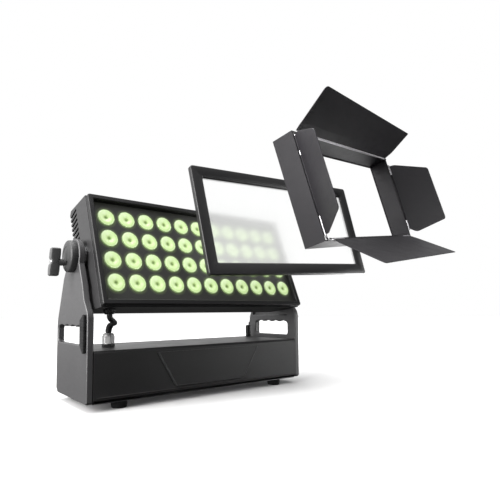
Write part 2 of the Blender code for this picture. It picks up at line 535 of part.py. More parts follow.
# ------------------------------------------------------------- clamp screws
def wing_screw(name, s):
    """A wing on a threaded shank; the wing is lofted from rounded sections up its height."""
    sections = [(-1.00, 0.72, 0.0044), (-0.94, 0.94, 0.0066), (-0.60, 1.00, 0.0072), (-0.26, 0.98, 0.0070), (-0.10, 0.74, 0.0068), (0.0, 0.66, 0.0074),
                (0.10, 0.74, 0.0068), (0.26, 0.98, 0.0070), (0.60, 1.00, 0.0072), (0.94, 0.94, 0.0066), (1.00, 0.72, 0.0044)]
    n = 12
    lean = math.tan(math.radians(15))          # the wings stand a little off the vertical
    bm = bmesh.new()
    rings = []
    for h, kx, wy in sections:
        ring = []
        for i in range(n):
            t = 2 * math.pi * (i + 0.5) / n
            c, d = math.cos(t), math.sin(t)
            px = math.copysign(abs(c) ** 0.45, c) * KNOB_HALF_T * kx
            py_ = math.copysign(abs(d) ** 0.45, d) * wy
            ring.append(bm.verts.new((s * (KNOB_X + px), py_ - h * KNOB_R * lean, h * KNOB_R)))
        rings.append(ring)
    bm.faces.new(rings[0])
    bm.faces.new(rings[-1])
    for a, b in zip(rings, rings[1:]):
        for i in range(n):
            j = (i + 1) % n
            bm.faces.new((a[i], a[j], b[j], b[i]))
    ob = finish(name, bm, material(name, BLACK, 0.5), at=CLAMP, smooth=50)
    shank = finish("g_shank_" + name, lathe([(0, s * 0.2486), (SCREW_R, s * 0.2486), (SCREW_R, s * 0.2576), (0.0054, s * 0.2576), (0.0062, s * 0.2650),
                                             (0.0062, s * KNOB_X), (0, s * KNOB_X)], 16, "X"), at=CLAMP, guide=True)
    boolean(ob, shank, "UNION")


wing_screw("wing_screw_left", -1)
wing_screw("wing_screw_right", 1)

# ------------------------------------- diffusion frame, on a small ball catch
R_HEAD = Matrix.Rotation(-TILT, 3, "X")
R_FRAME = Matrix.Rotation(FRAME_YAW, 3, "Z") @ Matrix.Rotation(-FRAME_TILT, 3, "X") @ Matrix.Rotation(-FRAME_ROLL, 3, "Y")
CATCH = empty("catch_carrier", HEAD, R_HEAD.transposed() @ (FRAME_AT + R_FRAME @ FRAME_BALL - PIVOT))
k = FRAME_BALL_R
finish("frame_stud",
       lathe([(0, 0.0046), (0.0036, 0.0046), (0.0036, 0.0034), (0.0012, 0.0031), (0.0012, 0.0023), (k * 0.77, 0.0017), (k, 0.0),
              (k * 0.77, -0.0017), (0, -0.0025)], 16, "Y"),
       material("frame_stud_steel", (0.55, 0.55, 0.55), 0.25, 1.0), CATCH, smooth=40)
FILTER = empty("filter_box", empty("filter_swivel", CATCH, (0, 0, 0), R_HEAD.transposed() @ R_FRAME), -FRAME_BALL)
ff = finish("filter_frame",
            ring_prism(round_rect(FRAME_W, FRAME_H, 0.0060, 4), round_rect(FRAME_W - 2 * FRAME_RAIL, FRAME_H - 2 * FRAME_RAIL, 0.0025, 4),
                       0.0, FRAME_T), material("filter_frame_paint", PAINT, 0.5), FILTER)
boolean(ff, guide("g_sheet_pocket", boxes((-0.2072, 0.2072, 0.0045, 0.0200, -0.0960, 0.0960)), FILTER))
bx, by, bz = FRAME_BALL
boolean(ff, guide("g_catch_lug", boxes((bx - 0.0042, bx + 0.0042, FRAME_T - 0.0010, by + 0.0016, bz - 0.0050, bz + 0.0050)), FILTER), "UNION")
boolean(ff, guide("g_catch_socket", lathe([(0, -0.0030), (0.0015, -0.0026), (0.0026, -0.0015), (0.0030, 0.0), (0.0029, 0.0026), (0, 0.0026)], 16, "Y",
                                          tuple(FRAME_BALL)), FILTER))
finish("frost_sheet", boxes((-0.2069, 0.2069, 0.0048, 0.0068, -0.0957, 0.0957)),
       material("frost", (0.90, 0.91, 0.90), 0.6, Transmission_Weight=0.6), FILTER)
finish("sheet_retainer", ring_prism(round_rect(0.4138, 0.1914, 0.0010, 2), round_rect(0.4080, 0.1800, 0.0010, 2), 0.0071, 0.0097),
       material("retainer_paint", BLACK, 0.5), FILTER)

# ------------------------------------------------------------------ barn door
R_BARN = Matrix.Rotation(BARN_YAW, 3, "Z") @ Matrix.Rotation(-BARN_TILT, 3, "X") @ Matrix.Rotation(-BARN_ROLL, 3, "Y")
STUD = empty("stud_carrier", FILTER, R_FRAME.transposed() @ (BARN_AT + R_BARN @ BALL - FRAME_AT))
finish("barn_stud",
       lathe([(0, 0.0085), (0.0070, 0.0085), (0.0070, 0.0060), (0.0022, 0.0055), (0.0022, 0.0043), (BALL_R * 0.75, 0.0033), (BALL_R, 0.0),
              (BALL_R * 0.75, -0.0033), (0, -0.0048)], 16, "Y"),
       material("stud_steel", (0.55, 0.55, 0.55), 0.25, 1.0), STUD, smooth=40)
BARN = empty("barn_swivel", STUD, (0, 0, 0), R_FRAME.transposed() @ R_BARN)
BOX = empty("barn_box", BARN, -BALL)

hw, hh = BARN_W / 2, BARN_H / 2


def rect(w, h):
    return [(w, h), (-w, h), (-w, -h), (w, -h)]


barn = finish("barn_frame", ring_prism(rect(hw, hh), rect(hw - BARN_T, hh - BARN_T), 0.0, BARN_D), material("barn_paint", PAINT, 0.5), BOX)
boolean(barn, guide("g_barn_flange", ring_prism(rect(hw - 0.0004, hh - 0.0004), rect(hw - 0.0045, hh - 0.0045), BARN_D - 0.0016, BARN_D - 0.0001), BOX), "UNION")
boolean(barn, guide("g_barn_lug", boxes((-0.0090, 0.0090, BALL.y - 0.0075, BALL.y + 0.0020, hh - 0.0010, BALL.z + 0.0085)), BOX), "UNION")
sock = [(0, -0.0056), (0.0028, -0.00485), (0.00485, -0.0028), (0.0056, 0.0), (0.0054, 0.0030), (0, 0.0030)]
boolean(barn, guide("g_barn_socket", lathe(sock, 16, "Y", tuple(BALL)), BOX))

STEEL = (0.62, 0.62, 0.63)
RODS = {"top": ("X", 0.2000, (0, hh - 0.0025)), "bottom": ("X", 0.2000, (0, -hh + 0.0025)),
        "left": ("Z", 0.0940, (-hw + 0.0025, 0)), "right": ("Z", 0.0860, (hw - 0.0025, 0))}
for nm, (ax, half, (x, z)) in RODS.items():
    finish("hinge_rod_" + nm, lathe([(0, -half), (ROD_R, -half), (ROD_R, half), (0, half)], 12, ax),
           material("rod_" + nm, STEEL, 0.25, 1.0), BOX, at=(x, -HINGE_N, z), smooth=35)
for nm, s in (("top", 1), ("bottom", -1)):
    x0 = s * 0.2003
    finish("friction_screw_" + nm, lathe([(0, x0), (0.0023, x0), (0.0023, x0 + s * 0.0050), (0.0018, x0 + s * 0.0070), (0, x0 + s * 0.0070)], 12, "X"),
           material("screw_" + nm, BLACK, 0.5), BOX, at=(0, -HINGE_N, s * (hh - 0.0025)), smooth=35)

# a leaf is drawn flat: t runs along the hinge, l away from it
LEAF_ROOT = 0.0023                                # its straight edge runs close along the rod
LEAF_SHAPE = {  # corners (t, l, rounding) from the hinge's low end round by the far edge to its high end
    "top": ((-0.2085, LEAF_ROOT, 0), (-0.2110, 0.0160, 0.010), (-0.2040, 0.0900, 0.009), (0.2170, 0.0765, 0.004), (0.2060, 0.0220, 0.020), (0.1985, LEAF_ROOT, 0)),
    "bottom": ((-0.1920, LEAF_ROOT, 0), (-0.1990, 0.0220, 0.010), (-0.2070, 0.1090, 0.008), (0.2125, 0.1100, 0.004), (0.2050, 0.0220, 0.020), (0.1990, LEAF_ROOT, 0)),
    "left": ((-0.0920, LEAF_ROOT, 0), (-0.0950, 0.0220, 0.006), (-0.0780, 0.1180, 0.006), (0.0480, 0.1180, 0.010), (0.0900, 0.0220, 0.010), (0.0900, LEAF_ROOT, 0)),
    "right": ((-0.0830, LEAF_ROOT, 0), (-0.0940, 0.0240, 0.010), (-0.0750, 0.1395, 0.008), (0.0680, 0.1345, 0.007), (0.0850, 0.0180, 0.012), (0.0830, LEAF_ROOT, 0))}
LEAF_AXES = {"top": (Vector((1, 0, 0)), Vector((0, 0, 1))), "bottom": (Vector((1, 0, 0)), Vector((0, 0, -1))),
             "left": (Vector((0, 0, 1)), Vector((-1, 0, 0))), "right": (Vector((0, 0, 1)), Vector((1, 0, 0)))}


def rounded(corners, steps=4):
    """The outline through (t, l, rounding) corners, each turned through a short curve."""
    pts, n = [], len(corners)
    for i, (t, l, r) in enumerate(corners):
        p = Vector((t, l))
        if not r:
            pts.append(p)
            continue
        a, b = Vector(corners[i - 1][:2]) - p, Vector(corners[(i + 1) % n][:2]) - p
        reach = min(r, a.length * 0.45, b.length * 0.45)
        p0, p1 = p + a.normalized() * reach, p + b.normalized() * reach
        for k in range(steps + 1):
            u = k / steps
            pts.append(p0 * (1 - u) ** 2 + 2 * p * u * (1 - u) + p1 * u * u)
    return pts


for nm, corners in LEAF_SHAPE.items():
    t_ax, out = LEAF_AXES[nm]
    a = math.radians(LEAF_OPEN[nm])
    d = out * math.cos(a) + Vector((0, -1, 0)) * math.sin(a)
    outline = rounded(corners)
    nrm = t_ax.cross(d)
    bm = bmesh.new()
    lo = [bm.verts.new(t_ax * t + d * l - nrm * LEAF_T / 2) for t, l in outline]
    hi = [bm.verts.new(t_ax * t + d * l + nrm * LEAF_T / 2) for t, l in outline]
    bm.faces.new(lo)
    bm.faces.new(hi)
    for i in range(len(lo)):
        j = (i + 1) % len(lo)
        bm.faces.new((lo[i], lo[j], hi[j], hi[i]))
    x, z = RODS[nm][2]
    finish("leaf_" + nm, bm, material("leaf_" + nm, PAINT, 0.5), BOX, at=(x, -HINGE_N, z))
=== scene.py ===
"""Looks of the LED wash light: finishes, fine lenses, frosted sheet, rolled sheet metal,
fittings, cable, studio and camera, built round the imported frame."""
import json
import math

import bmesh
import bpy
from mathutils import Matrix, Vector
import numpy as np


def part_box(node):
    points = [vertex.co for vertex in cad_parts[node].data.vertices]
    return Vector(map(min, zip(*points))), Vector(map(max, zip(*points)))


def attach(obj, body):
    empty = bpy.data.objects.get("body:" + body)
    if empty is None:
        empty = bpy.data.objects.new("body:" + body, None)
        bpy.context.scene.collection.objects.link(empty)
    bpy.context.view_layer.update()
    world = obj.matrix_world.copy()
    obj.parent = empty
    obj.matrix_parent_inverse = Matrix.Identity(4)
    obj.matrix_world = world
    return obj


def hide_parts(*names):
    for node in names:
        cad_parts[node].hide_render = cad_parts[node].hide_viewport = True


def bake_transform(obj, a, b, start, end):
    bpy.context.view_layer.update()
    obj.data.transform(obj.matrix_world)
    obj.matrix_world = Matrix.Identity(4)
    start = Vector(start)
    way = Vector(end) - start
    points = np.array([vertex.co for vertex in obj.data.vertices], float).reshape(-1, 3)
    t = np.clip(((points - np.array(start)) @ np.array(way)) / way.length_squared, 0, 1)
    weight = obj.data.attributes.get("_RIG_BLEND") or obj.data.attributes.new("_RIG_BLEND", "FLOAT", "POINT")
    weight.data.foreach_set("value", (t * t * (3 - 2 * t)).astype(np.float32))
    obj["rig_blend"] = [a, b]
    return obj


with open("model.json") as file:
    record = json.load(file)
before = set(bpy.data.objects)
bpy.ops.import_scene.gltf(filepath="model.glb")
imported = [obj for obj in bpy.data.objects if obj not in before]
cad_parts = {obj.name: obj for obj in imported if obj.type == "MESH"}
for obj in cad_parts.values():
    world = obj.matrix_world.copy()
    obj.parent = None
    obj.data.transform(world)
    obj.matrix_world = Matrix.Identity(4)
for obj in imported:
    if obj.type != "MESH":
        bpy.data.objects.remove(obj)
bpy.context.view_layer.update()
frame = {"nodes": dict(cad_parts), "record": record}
NODES = frame["nodes"]
BODY = {n: b for b, ns in frame["record"]["behaviour"]["bodies"].items() for n in ns}
SCENE = bpy.context.scene

# ------------------------------------------------------------------ the frame's places
BASE_HALF_W, BASE_FRONT, BASE_REAR, BASE_H = 0.2318, -0.1000, 0.0720, 0.0885
ARM_X0, ARM_X1 = 0.2323, 0.2433
BOSS_R, BOSS_X1, KNOB_X = 0.0285, 0.2566, 0.2752
PIVOT = Vector((0.0, -0.0200, 0.2520))
CLAMP = PIVOT + Vector((0.0, 0.0, -0.0115))
TILT = math.radians(23.04)
HEAD_HALF_W, HEAD_FRONT, HEAD_BACK, HEAD_Z0, HEAD_Z1 = 0.2270, -0.0626, 0.0372, -0.1200, 0.0980
BEZEL_T, RIM = 0.0117, 0.0100
COLS, ROWS, PITCH_X, PITCH_Z, LENS_Z, PLATE_Y, LENS_R, LENS_TALL = 11, 4, 0.0390, 0.0439, -0.0095, -0.0526, 0.0156, 1.09
FRAME_W, FRAME_H, FRAME_T, FRAME_RAIL = 0.4590, 0.2310, 0.0100, 0.0255
FRAME_AT = Vector((0.1929, -0.1199, 0.3452))
FRAME_BALL = Vector((0.2120, 0.0128, -0.0404))
BARN_W, BARN_H, BARN_D, BARN_T = 0.4320, 0.2060, 0.0430, 0.0020
BARN_AT = Vector((0.2724, -0.2606, 0.4015))
BALL = Vector((0.0, 0.0345, 0.1115))
HINGE_N, ROD_R, LEAF_T = 0.0026, 0.0019, 0.0015
GLAND_AT = Vector((-0.1800, -0.0270, BASE_H))
UNDER_SLOPE = 0.2812
HEAD_GLAND_AT = Vector((-0.1990, -0.0168, HEAD_Z0 + UNDER_SLOPE * (-0.0168 - HEAD_FRONT - BEZEL_T - 0.0003)))
CABLE_R = 0.0050


def turn(yaw, tilt, roll):
    return (Matrix.Rotation(math.radians(yaw), 3, "Z") @ Matrix.Rotation(-math.radians(tilt), 3, "X")
            @ Matrix.Rotation(-math.radians(roll), 3, "Y"))


R_HEAD = Matrix.Rotation(-TILT, 3, "X")
R_FRAME, R_BARN = turn(-2.62, 13.77, 3.13), turn(9.92, 13.29, 8.36)
R_UNDER = Matrix.Rotation(math.atan(UNDER_SLOPE), 3, "X")
M_HEAD = Matrix.Translation(PIVOT) @ R_HEAD.to_4x4()
M_ENTRY = M_HEAD @ Matrix.Translation(HEAD_GLAND_AT) @ R_UNDER.to_4x4()
M_FRAME = Matrix.Translation(FRAME_AT) @ R_FRAME.to_4x4()
M_BARN = Matrix.Translation(BARN_AT) @ R_BARN.to_4x4()
M_ROW = Matrix.Identity(4)


# --------------------------------------------------------------------------- materials
class Look:
    """A Principled material with the nodes that most surfaces here share."""

    def __init__(self, name, rough=0.5, metal=0.0, **sockets):
        self.mat = bpy.data.materials.new(name)
        self.mat.use_nodes = True
        self.tree = self.mat.node_tree
        self.bsdf = self.tree.nodes["Principled BSDF"]
        self.out = self.tree.nodes["Material Output"]
        self.bsdf.inputs["Roughness"].default_value = rough
        self.bsdf.inputs["Metallic"].default_value = metal
        for k, v in sockets.items():
            self.bsdf.inputs[k.replace("_", " ")].default_value = v
        self.coord = self.tree.nodes.new("ShaderNodeTexCoord").outputs["Object"]

    def add(self, kind, **values):
        n = self.tree.nodes.new(kind)
        for k, v in values.items():
            if k in n.inputs:
                n.inputs[k].default_value = v
            else:
                setattr(n, k, v)
        return n

    def link(self, a, b):
        self.tree.links.new(a, b)

    def noise(self, scale, detail=2.0, rough=0.5, stretch=None):
        n = self.add("ShaderNodeTexNoise", Scale=scale, Detail=detail, Roughness=rough)
        src = self.coord
        if stretch:
            m = self.add("ShaderNodeMapping", Scale=stretch)
            self.link(src, m.inputs["Vector"])
            src = m.outputs["Vector"]
        self.link(src, n.inputs["Vector"])
        return n.outputs["Fac"]

    def ramp(self, fac, *stops):
        r = self.add("ShaderNodeValToRGB")
        e = r.color_ramp.elements
        while len(e) < len(stops):
            e.new(0.5)
        for el, (pos, col) in zip(e, stops):
            el.position = pos
            el.color = (*col, 1.0) if len(col) == 3 else col
        self.link(fac, r.inputs["Fac"])
        return r.outputs["Color"]

    def span(self, fac, lo, hi, f0=0.3, f1=0.7):
        m = self.add("ShaderNodeMapRange")
        m.inputs["From Min"].default_value, m.inputs["From Max"].default_value = f0, f1
        m.inputs["To Min"].default_value, m.inputs["To Max"].default_value = lo, hi
        self.link(fac, m.inputs["Value"])
        return m.outputs["Result"]

    def bumps(self, *layers):
        """layers: (height, strength, distance) from the coarsest to the finest."""
        last = None
        for height, strength, distance in layers:
            b = self.add("ShaderNodeBump", Strength=strength, Distance=distance)
            self.link(height, b.inputs["Height"])
            if last:
                self.link(last, b.inputs["Normal"])
            last = b.outputs["Normal"]
        self.link(last, self.bsdf.inputs["Normal"])
        return self


def grey(v):
    return (v, v, v)


def times(c, k):
    return tuple(min(1.0, x * k) for x in c)


def powder(name, colour, rough=0.46, grain=0.00055, bump=0.22, spread=0.05, spec=0.5, cloud=0.25, coat=0.0):
    """Textured powder coat: orange-peel grain, a fleck of colour in it and faint handling marks."""
    L = Look(name, rough, **{"Specular_IOR_Level": spec, "Coat_Weight": coat, "Coat_Roughness": 0.25})
    fine = L.noise(1.0 / grain, 3.0, 0.55)
    peel = L.noise(0.28 / grain, 2.0, 0.45)
    wide = L.noise(7.0, 3.0, 0.6)
    rub = L.noise(34.0, 4.0, 0.65, (1.0, 1.0, 3.2))
    mixc = L.add("ShaderNodeMix", data_type="RGBA", blend_type="MULTIPLY")
    mixc.inputs["Factor"].default_value = 1.0
    L.link(L.ramp(fine, (0.34, times(colour, 1 - cloud)), (0.66, times(colour, 1 + cloud))), mixc.inputs["A"])
    L.link(L.ramp(wide, (0.30, grey(0.90)), (0.70, grey(1.0))), mixc.inputs["B"])
    L.link(mixc.outputs["Result"], L.bsdf.inputs["Base Color"])
    add = L.add("ShaderNodeMath", operation="ADD")
    L.link(L.span(wide, rough - spread, rough + spread), add.inputs[0])
    L.link(L.span(rub, -0.025, 0.04, 0.45, 0.75), add.inputs[1])
    L.link(add.outputs[0], L.bsdf.inputs["Roughness"])
    L.bumps((peel, bump * 0.7, 0.00022), (fine, bump, 0.00010))
    return L.mat


def plastic(name, colour, rough=0.5, grain=0.0003, bump=0.12, spec=0.45):
    """Moulded plastic with a fine spark-eroded skin."""
    L = Look(name, rough, Specular_IOR_Level=spec)
    fine = L.noise(1.0 / grain, 4.0, 0.7)
    wide = L.noise(22.0, 3.0, 0.55)
    L.link(L.ramp(wide, (0.3, times(colour, 0.82)), (0.7, times(colour, 1.18))), L.bsdf.inputs["Base Color"])
    L.link(L.span(wide, rough - 0.07, rough + 0.07), L.bsdf.inputs["Roughness"])
    L.bumps((fine, bump, 0.00008))
    return L.mat


def rubber(name, colour, rough=0.72, ribs=None, spec=0.2):
    L = Look(name, rough, Specular_IOR_Level=spec)
    dust = L.noise(60.0, 5.0, 0.65)
    fine = L.noise(4200.0, 3.0, 0.6)
    L.link(L.ramp(dust, (0.35, times(colour, 0.8)), (0.72, times(colour, 1.7))), L.bsdf.inputs["Base Color"])
    L.link(L.span(dust, rough - 0.1, rough + 0.08), L.bsdf.inputs["Roughness"])
    layers = [(fine, 0.25, 0.00008)]
    if ribs:
        w = L.add("ShaderNodeTexWave", wave_type="BANDS", bands_direction=ribs[0], wave_profile="SIN")
        w.inputs["Scale"].default_value = ribs[1]
        L.link(L.coord, w.inputs["Vector"])
        layers.insert(0, (w.outputs["Fac"], 0.5, 0.0004))
    L.bumps(*layers)
    return L.mat


def steel(name, colour=(0.62, 0.62, 0.63), rough=0.24, stretch=(1, 1, 60), scale=60.0):
    """Drawn or turned metal with fine lines along one way."""
    L = Look(name, rough, 1.0)
    lines = L.noise(scale, 4.0, 0.7, stretch)
    tarnish = L.noise(30.0, 4.0, 0.6)
    L.link(L.ramp(tarnish, (0.3, times(colour, 0.82)), (0.7, times(colour, 1.12))), L.bsdf.inputs["Base Color"])
    L.link(L.span(lines, rough - 0.07, rough + 0.10), L.bsdf.inputs["Roughness"])
    L.bumps((lines, 0.12, 0.00003))
    return L.mat


BLACK = (0.0125, 0.0124, 0.0128)
VIOLET = (0.0125, 0.0114, 0.0140)
CHARCOAL = (0.0540, 0.0532, 0.0550)

M_BASE = powder("base_powder", (0.0190, 0.0188, 0.0192), 0.44, 0.0006, 0.20, spec=0.56)
M_ARM = powder("arm_powder", CHARCOAL, 0.42, 0.0006, 0.22, spec=0.80)
M_HEADP = powder("head_powder", (0.0240, 0.0236, 0.0246), 0.44, 0.0006, 0.20, spec=0.56)
M_BEZEL = powder("bezel_powder", (0.0120, 0.0118, 0.0123), 0.42, 0.0005, 0.18, spec=0.34)
M_FILTER = powder("filter_powder", (0.0230, 0.0228, 0.0236), 0.36, 0.0005, 0.16, spec=0.50)
M_BARNP = powder("barn_powder", (0.0112, 0.0100, 0.0128), 0.46, 0.0006, 0.22, spec=0.22)
M_LEAF = powder("leaf_powder", (0.0215, 0.0196, 0.0236), 0.50, 0.0006, 0.24, spec=0.32)
M_COVER = powder("cover_powder", BLACK, 0.5, 0.0006, 0.22)
M_KNOB = plastic("knob_plastic", (0.0900, 0.0900, 0.0910), 0.42, 0.00035, 0.14, spec=0.6)
M_BOSS = plastic("boss_plastic", (0.0430, 0.0430, 0.0438), 0.50, 0.0004, 0.16, spec=0.5)
M_PLASTIC = plastic("black_plastic", (0.0110, 0.0110, 0.0115), 0.50, spec=0.3)
M_GRIP = rubber("grip_rubber", (0.0185, 0.0185, 0.0190), 0.74, ("Z", 62.0), 0.16)
M_FOOT = rubber("foot_rubber", (0.0075, 0.0075, 0.0077), 0.85, None, 0.12)
M_CABLE = rubber("cable_rubber", (0.0180, 0.0180, 0.0186), 0.50, None, 0.36)
M_NICKEL = steel("gland_nickel", (0.50, 0.50, 0.50), 0.60, (1, 1, 0.1), 900.0)
M_STEEL_X = steel("rod_steel_x", (0.46, 0.45, 0.47), 0.36, (0.02, 1, 1), 700.0)
M_STEEL_Z = steel("rod_steel_z", (0.52, 0.51, 0.53), 0.34, (1, 1, 0.02), 700.0)
M_STEEL = steel("bright_steel", (0.60, 0.60, 0.61), 0.28, (1, 1, 1), 500.0)
M_SCREW = steel("screw_black_steel", (0.10, 0.10, 0.105), 0.32, (1, 1, 1), 500.0)
M_ZINC = steel("zinc_sheet", (0.30, 0.30, 0.31), 0.42, (1, 14, 1), 60.0)
M_SINK = steel("sink_aluminium", (0.42, 0.42, 0.43), 0.36, (0.05, 1, 1), 300.0)


# ----------------------------------------------------------------------- making pieces
def piece(name, bm, mat, body, world=M_ROW, smooth=40, replaces=(), bevel=None):
    bmesh.ops.recalc_face_normals(bm, faces=bm.faces)
    me = bpy.data.meshes.new(name)
    bm.to_mesh(me)
    bm.free()
    for a in [a for a in me.attributes if a.name == "custom_normal"]:
        me.attributes.remove(a)
    me.materials.clear()
    for m in (mat if isinstance(mat, (list, tuple)) else (mat,)):
        me.materials.append(m)
    me.shade_smooth()
    me.set_sharp_from_angle(angle=math.radians(smooth))
    ob = bpy.data.objects.new(name, me)
    SCENE.collection.objects.link(ob)
    ob.matrix_world = world
    if bevel:
        width, segments, angle = bevel
        b = ob.modifiers.new("edges", "BEVEL")
        b.width, b.segments, b.limit_method, b.angle_limit = width, segments, "ANGLE", math.radians(angle)
        w = ob.modifiers.new("normals", "WEIGHTED_NORMAL")
        w.keep_sharp = True
    if body:
        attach(ob, body)
    if replaces:
        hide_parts(*replaces)
    return ob


def dress(node, mat, bevel=(0.0006, 2, 28), smooth=38, name=None):
    """The node's own shape with its triangles merged into faces and its edges rolled over."""
    bm = bmesh.new()
    bm.from_mesh(NODES[node].data)
    bmesh.ops.remove_doubles(bm, verts=bm.verts, dist=3e-6)
    bmesh.ops.dissolve_limit(bm, angle_limit=math.radians(0.4), verts=bm.verts, edges=bm.edges)
    return piece(name or node + "_skin", bm, mat, BODY[node], M_ROW, smooth, (node,), bevel)


def plain(node, mat):
    """A node whose shape is right as it is, with a better finish."""
    NODES[node].data.materials.clear()
    NODES[node].data.materials.append(mat)


def lathe_into(bm, profile, seg=48, axis="Z", centre=(0, 0, 0), flats=None):
    """Turn (radius, height) pairs; flats maps a radius index to a six-sided section."""
    rings = []
    for k, (r, h) in enumerate(profile):
        ring = []
        for i in range(1 if r == 0 else seg):
            t = 2 * math.pi * i / seg
            rr = r
            if flats and k in flats:
                a = (t + math.pi / 6) % (math.pi / 3) - math.pi / 6
                rr = min(r, flats[k] / math.cos(a))
            c, s = rr * math.cos(t), rr * math.sin(t)
            p = {"X": (h, c, s), "Y": (c, h, s), "Z": (c, s, h)}[axis]
            ring.append(bm.verts.new(Vector(p) + Vector(centre)))
        rings.append(ring)
    ends = profile[0][0] == 0 and profile[-1][0] == 0
    for a, b in list(zip(rings, rings[1:])) + ([] if ends else [(rings[-1], rings[0])]):
        for i in range(seg):
            j = (i + 1) % seg
            if len(a) == 1 and len(b) == 1:
                continue
            if len(a) == 1:
                bm.faces.new((a[0], b[i], b[j]))
            elif len(b) == 1:
                bm.faces.new((a[i], a[j], b[0]))
            else:
                bm.faces.new((a[i], a[j], b[j], b[i]))
    return bm


def lathe(profile, **kw):
    return lathe_into(bmesh.new(), profile, **kw)


def box_into(bm, x0, x1, y0, y1, z0, z1):
    vs = [bm.verts.new((x, y, z)) for x in (x0, x1) for y in (y0, y1) for z in (z0, z1)]
    for f in ((0, 1, 3, 2), (4, 6, 7, 5), (0, 4, 5, 1), (2, 3, 7, 6), (0, 2, 6, 4), (1, 5, 7, 3)):
        bm.faces.new([vs[i] for i in f])


def round_rect(w, h, r, seg=6):
    pts = []
    for k, (sx, sz) in enumerate(((1, 1), (-1, 1), (-1, -1), (1, -1))):
        for i in range(seg + 1):
            t = math.pi / 2 * (k + i / seg)
            pts.append((sx * (w / 2 - r) + r * math.cos(t), sz * (h / 2 - r) + r * math.sin(t)))
    return pts


def sweep_rings(sections):
    """sections: outlines (x, z) with a depth y each, closed on itself all the way round."""
    bm = bmesh.new()
    rows = [[bm.verts.new((x, y, z)) for x, z in pts] for pts, y in sections]
    n = len(rows[0])
    for a, b in zip(rows, rows[1:] + rows[:1]):
        for i in range(n):
            j = (i + 1) % n
            bm.faces.new((a[i], a[j], b[j], b[i]))
    return bm


def screw_head(name, body, world, r=0.0030, h=0.0016, mat=None):
    """Pan head with a hexagon socket; it stands on the plane z = 0 of its own axes."""
    prof = [(0, 0), (r, 0), (r, h * 0.45), (r * 0.86, h * 0.86), (r * 0.66, h), (r * 0.50, h), (r * 0.50, h * 0.35), (0, h * 0.35)]
    bm = lathe(prof, seg=24, flats={5: r * 0.43, 6: r * 0.43})
    return piece(name, bm, mat or M_SCREW, body, world, 35)


def facing(at, out, spin=0.0):
    """A frame at a point whose +Z is the outward way."""
    q = Vector(out).to_track_quat("Z", "Y")
    return Matrix.Translation(Vector(at)) @ q.to_matrix().to_4x4() @ Matrix.Rotation(spin, 4, "Z")


def bead(name, points, wide, high, mat, body, centre_y, seg=8):
    """A low half-round bead pressed along a run of (x, z) points on a face that looks along -Y."""
    bm = bmesh.new()
    rows = []
    n = len(points)
    for i, (x, z) in enumerate(points):
        a, b = Vector(points[max(i - 1, 0)]), Vector(points[min(i + 1, n - 1)])
        t = (b - a).normalized()
        side = Vector((-t.y, t.x))
        k = math.sin(math.pi * min(1.0, 0.25 + min(i, n - 1 - i)) / 2)      # it runs out softly at its ends
        row = []
        for j in range(seg + 1):
            u = -1 + 2 * j / seg
            off = side * (u * wide / 2)
            row.append(bm.verts.new((x + off.x, centre_y - high * k * math.cos(u * math.pi / 2), z + off.y)))
        row.append(bm.verts.new((x, centre_y + 0.0006, z)))
        rows.append(row)
    m = seg + 2
    for a, b in zip(rows, rows[1:]):
        for j in range(m):
            bm.faces.new((a[j], a[(j + 1) % m], b[(j + 1) % m], b[j]))
    bm.faces.new(rows[0])
    bm.faces.new(rows[-1])
    return piece(name, bm, mat, body, M_ROW, 50, ())


def along(corners, step):
    """Points every step or so along a run of straight lines."""
    out = []
    for a, b in zip(corners, corners[1:]):
        a, b = Vector(a), Vector(b)
        n = max(2, int((b - a).length / step))
        out += [tuple(a + (b - a) * (k / n)) for k in range(n)]
    return out + [tuple(corners[-1])]


# -------------------------------------------------------------------------------- base
dress("base_shell", M_BASE, (0.0011, 3, 24))
# pressed beads: along the inside of the raised trapezoid, and low along the whole front
bead("base_press_bead", along([(-0.1155, 0.0790), (-0.0786, 0.0166), (0.0786, 0.0166), (0.1155, 0.0790)], 0.006), 0.0034, 0.0011, M_BASE, "base", BASE_FRONT - 0.0014)
bead("base_foot_bead", along([(-0.2260, 0.0112), (0.2260, 0.0112)], 0.012), 0.0030, 0.0010, M_BASE, "base", BASE_FRONT)
dress("base_bottom_plate", M_ZINC, (0.0003, 1, 28))
for a in ("left", "right"):
    for b in ("front", "rear"):
        nd = "foot_%s_%s" % (a, b)
        lo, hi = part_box(nd)
        c = (lo + hi) / 2
        prof = [(0, 0.0003), (0.0120, 0.0003), (0.0134, -0.0008), (0.0140, -0.0028), (0.0138, -0.0060), (0.0131, -0.0102), (0.0122, -0.0115), (0.0108, -0.0117),
                (0.0060, -0.0117), (0.0056, -0.0112), (0.0052, -0.0085), (0, -0.0085)]
        piece(nd + "_fine", lathe(prof, seg=40), M_FOOT, "base", Matrix.Translation((c.x, c.y, 0)), 40, (nd,))
